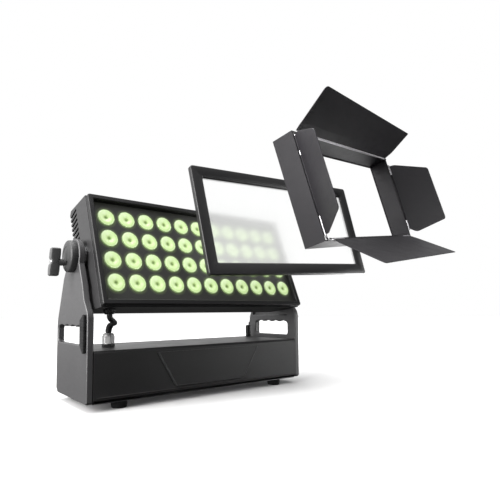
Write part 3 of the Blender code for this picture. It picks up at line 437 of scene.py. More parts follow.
for side, s in (("left", -1), ("right", 1)):
    dress("arm_" + side, M_ARM, (0.0004, 2, 24))
    dress("hand_grip_" + side, M_GRIP, (0.0016, 4, 30))
    # boss: a turned disc with a fluted rim and a stepped face
    x = lambda v: s * v
    bm = bmesh.new()
    seg, rows = 120, []
    prof = [(0.0086, 0.2470, 0), (0.0086, 0.2436, 0), (0.0277, 0.2436, 0), (BOSS_R, 0.2446, 1), (BOSS_R, 0.2526, 1), (0.0276, 0.2542, 0), (0.0262, 0.2552, 0),
            (0.0238, 0.2558, 0), (0.0222, 0.2566, 0), (0.0170, 0.2566, 0), (0.0164, 0.2560, 0), (0.0064, 0.2560, 0), (0.0044, 0.2560, 0), (0.0044, 0.2478, 0)]
    for r, h, flute in prof:
        ring = []
        for i in range(seg):
            t = 2 * math.pi * i / seg
            rr = r - (0.00035 * (0.5 - 0.5 * math.cos(40 * t)) if flute else 0)
            # the inner holes lie where the clamp and the pivot pass
            off = -0.0115 if r < 0.007 else 0.0
            ring.append(bm.verts.new((x(h), rr * math.cos(t), rr * math.sin(t) + off)))
        rows.append(ring)
    for a, b in zip(rows, rows[1:] + rows[:1]):
        for i in range(seg):
            j = (i + 1) % seg
            bm.faces.new((a[i], a[j], b[j], b[i]))
    piece("arm_boss_%s_fine" % side, bm, M_BOSS, "base", Matrix.Translation(PIVOT), 32, ("arm_boss_" + side,))
    dress("wing_screw_" + side, M_KNOB, (0.0010, 3, 40), 60)
    # a steel insert shows in the middle of the wing
    world = facing(CLAMP + Vector((s * (KNOB_X + 0.0057), 0, 0)), (s, 0, 0))
    screw_head("wing_insert_" + side, "wing_screw_" + side, world, 0.0040, 0.0014, M_STEEL)
    plain("pivot_shaft_" + side, M_STEEL)

# gland on the base: hexagon flange, grooved barrel, dome nut
prof = [(CABLE_R + 0.0003, -0.0100), (0.0076, -0.0100), (0.0076, 0.0003), (0.0112, 0.0003), (0.0117, 0.0009), (0.0117, 0.0049), (0.0112, 0.0055), (0.0098, 0.0056),
        (0.0096, 0.0062), (0.0096, 0.0072), (0.0112, 0.0074), (0.0112, 0.0192), (0.0108, 0.0200), (0.0104, 0.0210), (0.0098, 0.0234), (0.0088, 0.0249),
        (0.0076, 0.0255), (CABLE_R + 0.0008, 0.0255)]
hexes = {3: 0.0101, 4: 0.0101, 5: 0.0101, 6: 0.0101, 10: 0.0100, 11: 0.0100, 12: 0.0100}
gland = piece("base_gland_fine", lathe(prof, seg=72, flats=hexes), (M_NICKEL, M_PLASTIC), "base", Matrix.Translation(GLAND_AT), 30, ("base_gland",))
for p in gland.data.polygons:                      # the seal and nut at its foot are black
    if p.center.z < 0.0064:
        p.material_index = 1
prof = [(CABLE_R + 0.0003, 0.0080), (0.0076, 0.0080), (0.0076, -0.0003), (0.0100, -0.0003), (0.0105, -0.0008), (0.0105, -0.0031), (0.0100, -0.0036),
        (0.0094, -0.0038), (0.0092, -0.0060), (0.0078, -0.0076), (CABLE_R + 0.0005, -0.0078)]
piece("head_gland_fine", lathe(prof, seg=72, flats={3: 0.0093, 4: 0.0093, 5: 0.0093, 6: 0.0093}), M_PLASTIC, "head", M_ENTRY, 30, ("head_gland",))
prof = [(0, 0.0003), (0.0064, 0.0003), (0.0064, 0.0060), (0.0058, 0.0064), (0.0058, 0.0076), (0.0064, 0.0080), (0.0064, 0.0252), (0.0060, 0.0272), (0.0048, 0.0286),
        (0.0030, 0.0290), (0, 0.0290)]
piece("vent_plug_fine", lathe(prof, seg=40), M_PLASTIC, "base", Matrix.Translation((0.2116, 0.0483, BASE_H)), 35, ("vent_plug",))

# rear of the base
PANEL_Y = BASE_REAR + 0.0023
dress("control_panel", M_PLASTIC, (0.0004, 2, 30))
L = Look("display_glass", 0.06, Specular_IOR_Level=0.6, Coat_Weight=1.0)
lines = L.add("ShaderNodeTexWave", wave_type="BANDS", bands_direction="Z")
lines.inputs["Scale"].default_value = 190.0
L.link(L.coord, lines.inputs["Vector"])
L.link(L.ramp(lines.outputs["Fac"], (0.2, (0.004, 0.010, 0.030)), (0.8, (0.006, 0.018, 0.055))), L.bsdf.inputs["Base Color"])
L.bumps((L.noise(900.0), 0.02, 0.00002))
M_DISPLAY = L.mat
dress("display_window", M_DISPLAY, (0.0005, 2, 30))
M_BUTTON = plastic("button_plastic", (0.045, 0.045, 0.050), 0.5)
for nm in ("menu", "up", "down", "enter"):
    nd = "button_" + nm
    lo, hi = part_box(nd)
    prof = [(0, -0.0022), (0.0068, -0.0022), (0.0068, -0.0006), (0.0048, -0.0006), (0.0048, 0.0040), (0.0046, 0.0050), (0.0040, 0.0055), (0.0030, 0.0053), (0, 0.0050)]
    c = (lo + hi) / 2
    piece(nd + "_fine", lathe([(r, h + BASE_REAR) for r, h in prof], seg=40, axis="Y"), M_BUTTON, nd, Matrix.Translation((c.x, 0, 0.0460)), 35, (nd,))
for nd, x, r, col in (("power_in", -0.1330, 0.0130, (0.015, 0.055, 0.30)), ("power_out", -0.1000, 0.0130, (0.30, 0.31, 0.33)),
                      ("data_in", -0.0680, 0.0100, (0.25, 0.25, 0.26)), ("data_out", -0.0390, 0.0100, (0.25, 0.25, 0.26))):
    y0 = PANEL_Y + 0.0003
    prof = [(0, y0), (r, y0), (r, y0 + 0.0026), (r - 0.0004, y0 + 0.0032), (r - 0.0012, y0 + 0.0035), (r - 0.0012, y0 + 0.0086), (r - 0.0015, y0 + 0.0090),
            (r - 0.0030, y0 + 0.0090), (r - 0.0032, y0 + 0.0087), (r - 0.0032, y0 + 0.0062), (0.0032, y0 + 0.0062), (0.0030, y0 + 0.0078), (0, y0 + 0.0080)]
    mat = plastic(nd + "_plastic", col, 0.35) if nd.startswith("power") else steel(nd + "_metal", col, 0.3, (1, 1, 1), 300.0)
    piece(nd + "_fine", lathe(prof, seg=56, axis="Y"), mat, "base", Matrix.Translation((x, 0, 0.0460)), 35, (nd,))
    for k, (dx, dz) in enumerate(((-1, 1), (1, -1))):
        screw_head("%s_screw_%d" % (nd, k), "base", facing((x + dx * (r * 0.72 + 0.0032), PANEL_Y, 0.0460 + dz * (r * 0.72 + 0.0032)), (0, 1, 0)), 0.0018, 0.0010)
for k, (x, z) in enumerate(((-0.1490, 0.0200), (0.1490, 0.0200), (-0.1490, 0.0720), (0.1490, 0.0720))):
    screw_head("panel_screw_%d" % k, "base", facing((x, PANEL_Y, z), (0, 1, 0)), 0.0026, 0.0013)
plain("safety_eye", M_STEEL)
plain("power_supply", M_ZINC)
plain("control_board", plastic("board_green", (0.008, 0.070, 0.030), 0.4))

# -------------------------------------------------------------------------------- head
dress("head_housing", M_HEADP, (0.0012, 3, 30))
dress("front_bezel", M_BEZEL, (0.0011, 4, 30))
dress("rear_cover", M_COVER, (0.0004, 2, 30))
plain("heat_sink", M_SINK)
plain("led_board", plastic("led_board_white", (0.72, 0.73, 0.70), 0.4))
for k, (x, z) in enumerate(((-0.2140, -0.0880), (0.2140, -0.0880), (-0.2140, 0.1010), (0.2140, 0.1010), (0.0, -0.0880), (0.0, 0.1010))):
    screw_head("cover_screw_%d" % k, "head", M_HEAD @ facing((x, HEAD_BACK + 0.0023, z), (0, 1, 0)), 0.0030, 0.0016)

# lens plate: satin black with a painted green glow round its holes, in colour and emission, where the lenses' light
# would fall
L = Look("lens_plate_painted_glow", 0.36, Specular_IOR_Level=0.4)
m = L.add("ShaderNodeMapping")
back = R_HEAD.transposed() @ PIVOT
m.inputs["Rotation"].default_value = (TILT, 0, 0)
m.inputs["Location"].default_value = (-back.x, -back.y, -back.z)
L.link(L.coord, m.inputs["Vector"])
sep = L.add("ShaderNodeSeparateXYZ")
L.link(m.outputs["Vector"], sep.inputs[0])


def cell(src, pitch, offset):
    """Distance from the middle of the nearest lens along one way, in metres."""
    a = L.add("ShaderNodeMath", operation="ADD")
    a.inputs[1].default_value = offset
    L.link(src, a.inputs[0])
    p = L.add("ShaderNodeMath", operation="PINGPONG")
    p.inputs[1].default_value = pitch / 2
    L.link(a.outputs[0], p.inputs[0])
    return p.outputs[0]


# pingpong gives the distance from the nearest multiple of the pitch
dx = cell(sep.outputs["X"], PITCH_X, PITCH_X * 6)
dz = cell(sep.outputs["Z"], PITCH_Z, PITCH_Z * 4.5 - LENS_Z)
comb = L.add("ShaderNodeCombineXYZ")
L.link(dx, comb.inputs["X"])
L.link(dz, comb.inputs["Z"])
flat = L.add("ShaderNodeVectorMath", operation="MULTIPLY")
L.link(comb.outputs[0], flat.inputs[0])
flat.inputs[1].default_value = (1.0, 1.0, 1.0 / LENS_TALL)
ln = L.add("ShaderNodeVectorMath", operation="LENGTH")
L.link(flat.outputs[0], ln.inputs[0])
# nothing glows past the last row
far = L.add("ShaderNodeMath", operation="SUBTRACT")
L.link(sep.outputs["Z"], far.inputs[0])
far.inputs[1].default_value = LENS_Z
ab = L.add("ShaderNodeMath", operation="ABSOLUTE")
L.link(far.outputs[0], ab.inputs[0])
past = L.add("ShaderNodeMath", operation="GREATER_THAN")
L.link(ab.outputs[0], past.inputs[0])
past.inputs[1].default_value = PITCH_Z * 1.99
rm = L.add("ShaderNodeMath", operation="MAXIMUM")
L.link(L.span(ln.outputs["Value"], 0.0, 1.0, 0.0150, 0.0215), rm.inputs[0])
L.link(past.outputs[0], rm.inputs[1])
ring = rm.outputs[0]
# painted glow: green colour and emission next to each hole, fading to a faint glow over the rest of the plate
L.link(L.ramp(ring, (0.0, (0.050, 0.074, 0.028)), (0.35, (0.036, 0.044, 0.027)), (1.0, (0.0250, 0.0245, 0.0255))), L.bsdf.inputs["Base Color"])
L.link(L.ramp(ring, (0.0, (0.085, 0.115, 0.050)), (0.30, (0.046, 0.056, 0.030)), (0.9, (0.010, 0.011, 0.008))), L.bsdf.inputs["Emission Color"])
L.bsdf.inputs["Emission Strength"].default_value = 1.0
L.bumps((L.noise(1800.0, 3.0), 0.12, 0.00008))
dress("lens_plate", L.mat, (0.0003, 1, 50), 30)

# lenses: collar, step, shallow dome with a dimple, all one moulded sheet behind the plate
L = Look("lens_glow", 0.10, Coat_Weight=0.6, Coat_Roughness=0.06, Specular_IOR_Level=0.35)
rad = L.add("ShaderNodeAttribute", attribute_name="rad").outputs["Fac"]
reflector_and_highlight_fac = L.add("ShaderNodeAttribute", attribute_name="petals_and_painted_highlight").outputs["Fac"]
fleck = L.noise(420.0, 3.0, 0.6)
warp = L.add("ShaderNodeMath", operation="MULTIPLY_ADD")
L.link(L.span(fleck, -0.05, 0.05), warp.inputs[0])
warp.inputs[1].default_value = 1.0
L.link(rad, warp.inputs[2])
glow = L.ramp(warp.outputs[0], (0.00, (0.070, 0.110, 0.030)), (0.09, (0.10, 0.16, 0.045)), (0.20, (0.28, 0.40, 0.14)), (0.32, (0.54, 0.69, 0.33)), (0.55, (0.62, 0.77, 0.42)),
              (0.78, (0.50, 0.68, 0.28)), (0.88, (0.62, 0.77, 0.42)), (0.965, (0.15, 0.22, 0.09)))
mx = L.add("ShaderNodeMix", data_type="RGBA", blend_type="MIX")
# paler where the reflector leaves and the painted highlight lie
L.link(reflector_and_highlight_fac, mx.inputs["Factor"])
L.link(glow, mx.inputs["A"])
mx.inputs["B"].default_value = (0.88, 0.98, 0.74, 1.0)
L.link(mx.outputs["Result"], L.bsdf.inputs["Emission Color"])
L.bsdf.inputs["Emission Strength"].default_value = 0.92
L.link(L.ramp(rad, (0.0, (0.10, 0.16, 0.05)), (0.3, (0.22, 0.30, 0.12)), (1.0, (0.20, 0.28, 0.12))), L.bsdf.inputs["Base Color"])
L.bumps((L.noise(700.0, 3.0), 0.08, 0.00015))
M_LENS = L.mat

bm = bmesh.new()
rad_l, reflector_and_highlight_layer = bm.verts.layers.float.new("rad"), bm.verts.layers.float.new("petals_and_painted_highlight")
SEG = 40
PROFILE = [(1.000, 0.0000), (1.000, 0.0034), (0.985, 0.0038), (0.950, 0.0040), (0.915, 0.0038), (0.900, 0.0036), (0.885, 0.0039), (0.80, 0.0042), (0.70, 0.0042),
           (0.58, 0.0039), (0.46, 0.0034), (0.34, 0.0028), (0.24, 0.0023), (0.17, 0.0020), (0.11, 0.0018), (0.05, 0.0017), (0.0, 0.0017)]
for c in range(COLS):
    for r in range(ROWS):
        cx, cz = (c - (COLS - 1) / 2) * PITCH_X, LENS_Z + ((ROWS - 1) / 2 - r) * PITCH_Z
        rings = []
        for f, h in PROFILE:
            ringv = []
            for i in range(1 if f == 0 else SEG):
                t = 2 * math.pi * i / SEG
                v = bm.verts.new((cx + f * LENS_R * math.cos(t), PLATE_Y + 0.0026 - h, cz + f * LENS_R * LENS_TALL * math.sin(t)))
                v[rad_l] = f
                # the reflector's three leaves show as paler patches, and a painted highlight makes one side of the dome
                # paler
                bump = max(0.0, 1 - abs(f - 0.50) / 0.30) * max(0.0, math.cos(3 * t + 0.6)) ** 2
                # painted highlight: one side of the dome is paler, as if lit
                lit = max(0.0, math.cos(t - 2.2)) * max(0.0, min(1.0, (f - 0.35) / 0.4)) * (1.0 if f < 0.93 else 0.3)
                v[reflector_and_highlight_layer] = min(0.9, 0.40 * bump + 0.45 * lit)
                ringv.append(v)
            rings.append(ringv)
        for a, b in zip(rings, rings[1:]):
            for i in range(SEG):
                j = (i + 1) % SEG
                if len(b) == 1:
                    bm.faces.new((a[i], a[j], b[0]))
                else:
                    bm.faces.new((a[i], a[j], b[j], b[i]))
        # a closed foot under each lens, standing on the moulded sheet
        foot = [bm.verts.new((v.co.x, PLATE_Y + 0.0040, v.co.z)) for v in rings[0]]
        for v in foot:
            v[rad_l] = 1.0
        for i in range(SEG):
            j = (i + 1) % SEG
            bm.faces.new((foot[i], foot[j], rings[0][j], rings[0][i]))
        bm.faces.new(foot)
piece("lenses", bm, M_LENS, "head", M_HEAD, 30, ("lens_array",))
bm = bmesh.new()
box_into(bm, -0.2160, 0.2160, PLATE_Y + 0.0042, PLATE_Y + 0.0056, HEAD_Z0 + RIM + 0.0010, HEAD_Z1 - RIM - 0.0010)
piece("lens_carrier", bm, plastic("lens_carrier_plastic", (0.05, 0.07, 0.03), 0.3), "head", M_HEAD, 30, (), (0.0005, 2, 30))


# ------------------------------------------------------------------------------- cable
def bezier(points, handles, n):
    out = []
    for a, b, ha, hb in zip(points, points[1:], handles, handles[1:]):
        for i in range(n):
            t = i / n
            p0, p1, p2, p3 = a, a + ha, b - hb, b
            out.append(p0 * (1 - t) ** 3 + 3 * p1 * t * (1 - t) ** 2 + 3 * p2 * t * t * (1 - t) + p3 * t ** 3)
    out.append(points[-1])
    return out


up = R_HEAD @ R_UNDER @ Vector((0, 0, 1))
entry = PIVOT + R_HEAD @ (HEAD_GLAND_AT + R_UNDER @ Vector((0, 0, -0.0078)))
CABLE = bezier([GLAND_AT + Vector((0, 0, -0.0200)), GLAND_AT + Vector((0, 0, 0.0265)), Vector((-0.1790, -0.0530, 0.1335)), entry - up * 0.0040, entry + up * 0.0230],
               [Vector((0, 0, 0.010)), Vector((0, 0, 0.0185)), Vector((-0.0040, -0.0080, 0.0025)), up * 0.0060, up * 0.008], 24)
bm = bmesh.new()
rows, ref, run = [], Vector((1, 0, 0)), 0.0
for i, p in enumerate(CABLE):
    t = (CABLE[min(i + 1, len(CABLE) - 1)] - CABLE[max(i - 1, 0)]).normalized()
    ref = (ref - t * ref.dot(t)).normalized()
    side = t.cross(ref)
    # a shrunk sleeve thickens the first stretch out of the gland
    run += (p - CABLE[i - 1]).length if i > 24 else 0.0
    q = max(0.0, min(1.0, (run - 0.0150) / 0.0030)) if i > 24 else 1.0
    r = (0.0056 + (0.0047 - 0.0056) * q * q * (3 - 2 * q)) if i > 24 else CABLE_R
    rows.append([bm.verts.new(p + (ref * math.cos(2 * math.pi * k / 24) + side * math.sin(2 * math.pi * k / 24)) * r) for k in range(24)])
for a, b in zip(rows, rows[1:]):
    for k in range(24):
        j = (k + 1) % 24
        bm.faces.new((a[k], a[j], b[j], b[k]))
bm.faces.new(rows[0])
bm.faces.new(rows[-1])
cable = piece("head_cable_fine", bm, M_CABLE, None, M_ROW, 50, ("head_cable",))
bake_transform(cable, "base", "head", start=GLAND_AT + Vector((0, 0, 0.0300)), end=entry - up * 0.0040)

# --------------------------------------------------------------------- diffusion frame
W, H, T, RL = FRAME_W, FRAME_H, FRAME_T, FRAME_RAIL


def rr(inset_x, inset_z, r):
    return round_rect(W - 2 * inset_x, H - 2 * inset_z, max(r, 0.0004), 8)


sec = [(rr(0.0, 0.0, 0.0060), T), (rr(0.0, 0.0, 0.0060), 0.0026)]
for k in range(1, 7):                                   # rolled outer edge
    a = math.pi / 2 * k / 6
    i = 0.0026 * (1 - math.cos(a))
    sec.append((rr(i, i, 0.0060 - i), 0.0026 * (1 - math.sin(a))))
sec += [(rr(RL - 0.0042, RL - 0.0042, 0.0035), 0.0), (rr(RL - 0.0008, RL - 0.0008, 0.0027), 0.0024), (rr(RL, RL, 0.0025), 0.0034),
        (rr(RL, RL, 0.0025), 0.0045), (rr(W / 2 - 0.2072, H / 2 - 0.0960, 0.0004), 0.0045), (rr(W / 2 - 0.2072, H / 2 - 0.0960, 0.0004), T)]
piece("filter_frame_fine", sweep_rings(sec), M_FILTER, "diffusion_frame", M_FRAME, 35, ("filter_frame",))
bx, by, bz = FRAME_BALL
bm = bmesh.new()
box_into(bm, bx - 0.0042, bx + 0.0042, T + 0.00002, by - 0.0004, bz - 0.0050, bz + 0.0050)
piece("filter_catch_lug", bm, M_FILTER, "diffusion_frame", M_FRAME, 35, (), (0.0005, 2, 30))
plain("frame_stud", M_STEEL)
dress("sheet_retainer", M_PLASTIC, (0.0004, 2, 30))

# frosted sheet: rough light-spreading acrylic; part of the light goes straight on, softened, and part scatters, and an
# even white painted glow is mixed in
L = Look("frost_acrylic", 0.25, IOR=1.45, Transmission_Weight=1.0)
cloudy = L.noise(16.0, 3.0, 0.6)
fine = L.noise(2600.0, 3.0, 0.6)
L.link(L.ramp(cloudy, (0.3, (0.975, 0.980, 0.978)), (0.7, (0.995, 0.998, 0.996))), L.bsdf.inputs["Base Color"])
L.link(L.span(cloudy, 0.23, 0.27), L.bsdf.inputs["Roughness"])
L.bumps((fine, 0.08, 0.00004))
tr = L.add("ShaderNodeBsdfTranslucent", Color=(0.96, 0.97, 0.965, 1.0))
# painted glow: an even white emission over the whole sheet
painted_glow = L.add("ShaderNodeEmission", Color=(1.0, 1.0, 1.0, 1.0), Strength=1.10)
m1 = L.add("ShaderNodeMixShader")
m1.inputs[0].default_value = 0.85
L.link(tr.outputs[0], m1.inputs[1])
L.link(painted_glow.outputs[0], m1.inputs[2])
m2 = L.add("ShaderNodeMixShader")
m2.inputs[0].default_value = 0.34
L.link(L.bsdf.outputs[0], m2.inputs[1])
L.link(m1.outputs[0], m2.inputs[2])
L.link(m2.outputs[0], L.out.inputs["Surface"])
dress("frost_sheet", L.mat, (0.0003, 1, 30))

# --------------------------------------------------------------------------- barn door
dress("barn_frame", M_BARNP, (0.0004, 2, 28))
plain("barn_stud", M_STEEL)
hw, hh = BARN_W / 2, BARN_H / 2
RODS = {"top": ("X", 0.2000, (0, hh - 0.0025)), "bottom": ("X", 0.2000, (0, -hh + 0.0025)),
        "left": ("Z", 0.0940, (-hw + 0.0025, 0)), "right": ("Z", 0.0860, (hw - 0.0025, 0))}
AXES = {"top": (Vector((1, 0, 0)), Vector((0, 0, 1))), "bottom": (Vector((1, 0, 0)), Vector((0, 0, -1))),
        "left": (Vector((0, 0, 1)), Vector((-1, 0, 0))), "right": (Vector((0, 0, 1)), Vector((1, 0, 0)))}
OPEN = {"top": 60.0, "bottom": 50.0, "left": 42.0, "right": 24.0}
ROOT = 0.0023
SHAPE = {"top": ((-0.2085, ROOT, 0), (-0.2110, 0.0160, 0.010), (-0.2040, 0.0900, 0.009), (0.2170, 0.0765, 0.004), (0.2060, 0.0220, 0.020), (0.1985, ROOT, 0)),
         "bottom": ((-0.1920, ROOT, 0), (-0.1990, 0.0220, 0.010), (-0.2070, 0.1090, 0.008), (0.2125, 0.1100, 0.004), (0.2050, 0.0220, 0.020), (0.1990, ROOT, 0)),
         "left": ((-0.0920, ROOT, 0), (-0.0950, 0.0220, 0.006), (-0.0780, 0.1180, 0.006), (0.0480, 0.1180, 0.010), (0.0900, 0.0220, 0.010), (0.0900, ROOT, 0)),
         "right": ((-0.0830, ROOT, 0), (-0.0940, 0.0240, 0.010), (-0.0750, 0.1395, 0.008), (0.0680, 0.1345, 0.007), (0.0850, 0.0180, 0.012), (0.0830, ROOT, 0))}
# sleeves in the barn door's finish over stretches of the rods, and the fold of the wall that closes the slit behind
# each
SLEEVES = {"top": (), "bottom": ((-0.1500, 0.1500),), "left": ((-0.0580, 0.0550), (0.0630, 0.0920)), "right": ((-0.0600, 0.0600),)}
WEBS = {"left": (-hw + 0.0006, -hw + 0.0044), "right": (hw - 0.0044, hw - 0.0006)}
bm = bmesh.new()
for x0, x1 in WEBS.values():
    box_into(bm, x0, x1, -0.00036, 0.0002, -0.0930, 0.0930)
piece("barn_fold", bm, M_BARNP, "barn_door", M_BARN, 35, ())
for nm, (ax, half, (x, z)) in RODS.items():
    at = M_BARN @ Matrix.Translation((x, -HINGE_N, z))
    prof = [(0, -half), (ROD_R * 0.7, -half), (ROD_R, -half + 0.0007), (ROD_R, half - 0.0007), (ROD_R * 0.7, half), (0, half)]
    piece("hinge_rod_%s_fine" % nm, lathe(prof, seg=32, axis=ax), M_STEEL_X if ax == "X" else M_STEEL_Z, "barn_door", at, 35, ("hinge_rod_" + nm,))
    for k, (t0, t1) in enumerate(SLEEVES[nm]):
        prof = [(ROD_R + 0.00004, t0), (0.0021, t0), (0.0022, t0 + 0.0002), (0.0022, t1 - 0.0002), (0.0021, t1), (ROD_R + 0.00004, t1)]
        piece("hinge_sleeve_%s_%d" % (nm, k), lathe(prof, seg=32, axis=ax), M_BARNP, "barn_door", at, 35, ())
for nm, s in (("top", 1), ("bottom", -1)):
    x0 = s * 0.2003
    prof = [(0, x0), (0.0021, x0), (0.0023, x0 + s * 0.0003), (0.0023, x0 + s * 0.0044), (0.0020, x0 + s * 0.0050), (0.0018, x0 + s * 0.0054),
            (0.0018, x0 + s * 0.0068), (0.0015, x0 + s * 0.0070), (0, x0 + s * 0.0070)]
    piece("friction_screw_%s_fine" % nm, lathe(prof, seg=32, axis="X"), M_SCREW, "barn_door", M_BARN @ Matrix.Translation((0, -HINGE_N, s * (hh - 0.0025))), 35,
          ("friction_screw_" + nm,))
# the left rod turns the corner to the screw of the bottom rod
bm = bmesh.new()
rows = []
for i in range(13):
    t = math.pi / 2 * i / 12
    c = Vector((-0.2070 - 0.0065 * math.cos(t), -HINGE_N, -0.0943 - 0.0062 * math.sin(t)))
    out = Vector((-math.cos(t), 0, -math.sin(t)))
    rows.append([bm.verts.new(c + (out * math.cos(2 * math.pi * k / 20) + Vector((0, 1, 0)) * math.sin(2 * math.pi * k / 20)) * ROD_R) for k in range(20)])
for a, b in zip(rows, rows[1:]):
    for k in range(20):
        j = (k + 1) % 20
        bm.faces.new((a[k], a[j], b[j], b[k]))
bm.faces.new(rows[0])
bm.faces.new(rows[-1])
piece("hinge_elbow", bm, M_STEEL_Z, "barn_door", M_BARN, 35, ())


def rounded(corners, steps=10):
    """The outline through (t, l, rounding) corners, each turned through a short curve."""
    pts, n = [], len(corners)
    for i, (t, l, r) in enumerate(corners):
        p = Vector((t, l))
        if not r:
            pts.append(p)
            continue
        a, b = Vector(corners[i - 1][:2]) - p, Vector(corners[(i + 1) % n][:2]) - p
        reach = min(r, a.length * 0.45, b.length * 0.45)
        p0, p1 = p + a.normalized() * reach, p + b.normalized() * reach
        for k in range(steps + 1):
            u = k / steps
            pts.append(p0 * (1 - u) ** 2 + 2 * p * u * (1 - u) + p1 * u * u)
    return pts


for nm, corners in SHAPE.items():
    t_ax, out = AXES[nm]
    a = math.radians(OPEN[nm])
    d = out * math.cos(a) + Vector((0, -1, 0)) * math.sin(a)
    nrm = t_ax.cross(d)
    pts = rounded(corners)
    bm = bmesh.new()
    lo = [bm.verts.new(t_ax * p.x + d * p.y - nrm * LEAF_T / 2) for p in pts]
    hi = [bm.verts.new(t_ax * p.x + d * p.y + nrm * LEAF_T / 2) for p in pts]
    bm.faces.new(lo)
    bm.faces.new(hi)
    for i in range(len(lo)):
        j = (i + 1) % len(lo)
        bm.faces.new((lo[i], lo[j], hi[j], hi[i]))
    x, z = RODS[nm][2]
    if nm == "top":                               # its root is folded to a slightly steeper strip
        fold = 0.0205
        bmesh.ops.bisect_plane(bm, geom=bm.verts[:] + bm.edges[:] + bm.faces[:], plane_co=d * fold, plane_no=d, dist=1e-6)
        for v in bm.verts:
            v.co += nrm * 0.0020 * max(0.0, min(1.0, (v.co.dot(d) - ROOT) / (fold - ROOT)))
    bm.transform(M_BARN @ Matrix.Translation((x, -HINGE_N, z)))
    piece("leaf_%s_fine" % nm, bm, M_LEAF, "leaf_" + nm, M_ROW, 30, ("leaf_" + nm,), (0.0004, 2, 40))

# ------------------------------------------------------------------- studio and camera
FLOOR_Z = -0.0117
bm = bmesh.new()
R = 9.0
ringv = [bm.verts.new((R * math.cos(2 * math.pi * k / 64), R * math.sin(2 * math.pi * k / 64), FLOOR_Z)) for k in range(64)]
bm.faces.new(ringv)
me = bpy.data.meshes.new("floor")
bm.to_mesh(me)
bm.free()
floor = bpy.data.objects.new("floor", me)
SCENE.collection.objects.link(floor)
L = Look("floor_pale", 0.9, Specular_IOR_Level=0.0)
L.bsdf.inputs["Base Color"].default_value = (0.74, 0.74, 0.74, 1)
L.bsdf.inputs["Emission Color"].default_value = (1, 1, 1, 1)
# painted glow: the floor's emission rises away from the object, so the floor brightens with distance while the real
# shadows show near it
ln = L.add("ShaderNodeVectorMath", operation="LENGTH")
L.link(L.coord, ln.inputs[0])
L.link(L.span(ln.outputs["Value"], 0.0, 0.75, 0.25, 1.6), L.bsdf.inputs["Emission Strength"])
me.materials.append(L.mat)
floor.visible_diffuse = False
floor.visible_glossy = False


def area(name, at, look, size, power, colour=(1, 1, 1), size_y=None):
    ld = bpy.data.lights.new(name, "AREA")
    ld.energy, ld.size, ld.color = power, size, colour
    if size_y:
        ld.shape, ld.size_y = "RECTANGLE", size_y
    lo = bpy.data.objects.new(name, ld)
    SCENE.collection.objects.link(lo)
    lo.location = at
    lo.rotation_euler = (Vector(look) - Vector(at)).to_track_quat("-Z", "Y").to_euler()
    lo.visible_camera = False
    lo.visible_transmission = False
    return lo


area("softbox_left", (-1.75, -0.25, 0.75), (0, 0, 0.25), 1.3, 66.0, (1.0, 0.99, 0.985), 1.5)
area("softbox_top", (-0.3, 0.3, 2.3), (0, 0, 0.2), 2.6, 66.0, (1, 1, 1), 2.2)
area("strip_right", (2.4, -1.9, 0.5), (0, 0, 0.2), 1.0, 24.0, (1, 1, 1), 1.4)
area("card_low", (0.85, -0.08, 0.01), (0.36, -0.28, 0.52), 0.5, 4.0, (1, 1, 1), 0.5)

w = bpy.data.worlds.new("studio")
SCENE.world = w
w.use_nodes = True
nt = w.node_tree
nt.nodes.clear()
out = nt.nodes.new("ShaderNodeOutputWorld")
seen, lit = nt.nodes.new("ShaderNodeBackground"), nt.nodes.new("ShaderNodeBackground")
seen.inputs[0].default_value = (1, 1, 1, 1)
lit.inputs[1].default_value = 1.0
geo = nt.nodes.new("ShaderNodeTexCoord")
dot = nt.nodes.new("ShaderNodeVectorMath")
dot.operation = "DOT_PRODUCT"
dot.inputs[1].default_value = (-0.30, 0.80, 0.52)        # the white back wall and ceiling lie this way
nt.links.new(geo.outputs["Generated"], dot.inputs[0])
rp = nt.nodes.new("ShaderNodeValToRGB")
rp.color_ramp.elements[0].position, rp.color_ramp.elements[0].color = 0.18, (0.066, 0.066, 0.068, 1)
rp.color_ramp.elements[1].position, rp.color_ramp.elements[1].color = 0.86, (0.95, 0.95, 0.95, 1)
mr = nt.nodes.new("ShaderNodeMapRange")
mr.inputs["From Min"].default_value, mr.inputs["From Max"].default_value = -1.0, 1.0
nt.links.new(dot.outputs["Value"], mr.inputs["Value"])
nt.links.new(mr.outputs["Result"], rp.inputs["Fac"])
nt.links.new(rp.outputs["Color"], lit.inputs[0])
# little comes from below the floor's level
level = nt.nodes.new("ShaderNodeSeparateXYZ")
nt.links.new(geo.outputs["Generated"], level.inputs[0])
low = nt.nodes.new("ShaderNodeMapRange")
low.interpolation_type = "SMOOTHSTEP"
low.inputs["From Min"].default_value, low.inputs["From Max"].default_value = -0.15, 0.05
low.inputs["To Min"].default_value, low.inputs["To Max"].default_value = 0.08, 1.0
nt.links.new(level.outputs["Z"], low.inputs["Value"])
nt.links.new(low.outputs["Result"], lit.inputs[1])
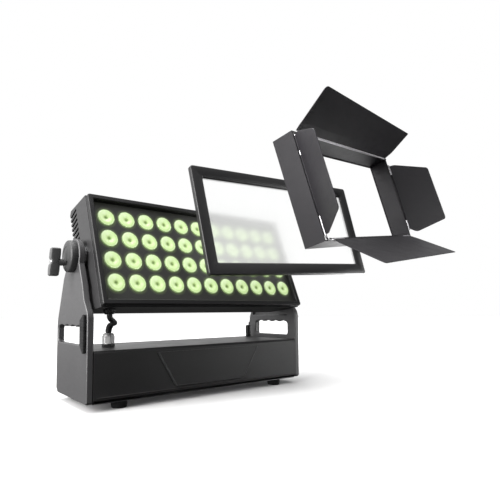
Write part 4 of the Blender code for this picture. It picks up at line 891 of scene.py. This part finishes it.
# the lit floor at the left throws light back up
side = nt.nodes.new("ShaderNodeMapRange")
side.interpolation_type = "SMOOTHSTEP"
side.inputs["From Min"].default_value, side.inputs["From Max"].default_value = -0.85, -0.10
side.inputs["To Min"].default_value, side.inputs["To Max"].default_value = 0.80, 0.0
nt.links.new(level.outputs["X"], side.inputs["Value"])
below = nt.nodes.new("ShaderNodeMapRange")
below.interpolation_type = "SMOOTHSTEP"
below.inputs["From Min"].default_value, below.inputs["From Max"].default_value = -0.20, 0.02
below.inputs["To Min"].default_value, below.inputs["To Max"].default_value = 1.0, 0.0
nt.links.new(level.outputs["Z"], below.inputs["Value"])
both = nt.nodes.new("ShaderNodeMath")
both.operation = "MULTIPLY"
nt.links.new(side.outputs["Result"], both.inputs[0])
nt.links.new(below.outputs["Result"], both.inputs[1])
bounce = nt.nodes.new("ShaderNodeBackground")
nt.links.new(both.outputs[0], bounce.inputs[1])
lit_all = nt.nodes.new("ShaderNodeAddShader")
nt.links.new(lit.outputs[0], lit_all.inputs[0])
nt.links.new(bounce.outputs[0], lit_all.inputs[1])
lp = nt.nodes.new("ShaderNodeLightPath")
mxm = nt.nodes.new("ShaderNodeMath")
mxm.operation = "MAXIMUM"
nt.links.new(lp.outputs["Is Camera Ray"], mxm.inputs[0])
nt.links.new(lp.outputs["Is Transmission Ray"], mxm.inputs[1])
mix = nt.nodes.new("ShaderNodeMixShader")
nt.links.new(mxm.outputs[0], mix.inputs[0])
nt.links.new(lit_all.outputs[0], mix.inputs[1])
nt.links.new(seen.outputs[0], mix.inputs[2])
nt.links.new(mix.outputs[0], out.inputs[0])

YAW, PITCH, ROLL, FOCAL = 0.6767, 0.0635, -0.0061, 439.7342
fwd = Vector((math.sin(YAW) * math.cos(PITCH), math.cos(YAW) * math.cos(PITCH), math.sin(PITCH)))
right = Vector((math.cos(YAW), -math.sin(YAW), 0.0))
upv = right.cross(fwd)
r2 = right * math.cos(ROLL) + upv * math.sin(ROLL)
u2 = upv * math.cos(ROLL) - right * math.sin(ROLL)
cd = bpy.data.cameras.new("camera")
cd.sensor_width = 36
cd.lens = FOCAL * 36 / 500
cd.shift_x = (250 - 247.2545) / 500
cd.shift_y = (282.3277 - 250) / 500
cd.clip_start, cd.clip_end = 0.02, 60
cam = bpy.data.objects.new("camera", cd)
SCENE.collection.objects.link(cam)
cam.matrix_world = Matrix(((r2.x, u2.x, -fwd.x, -0.4905), (r2.y, u2.y, -fwd.y, -0.8233), (r2.z, u2.z, -fwd.z, 0.1544), (0, 0, 0, 1)))
SCENE.camera = cam
SCENE.view_settings.view_transform = "Standard"
SCENE.view_settings.look = "None"
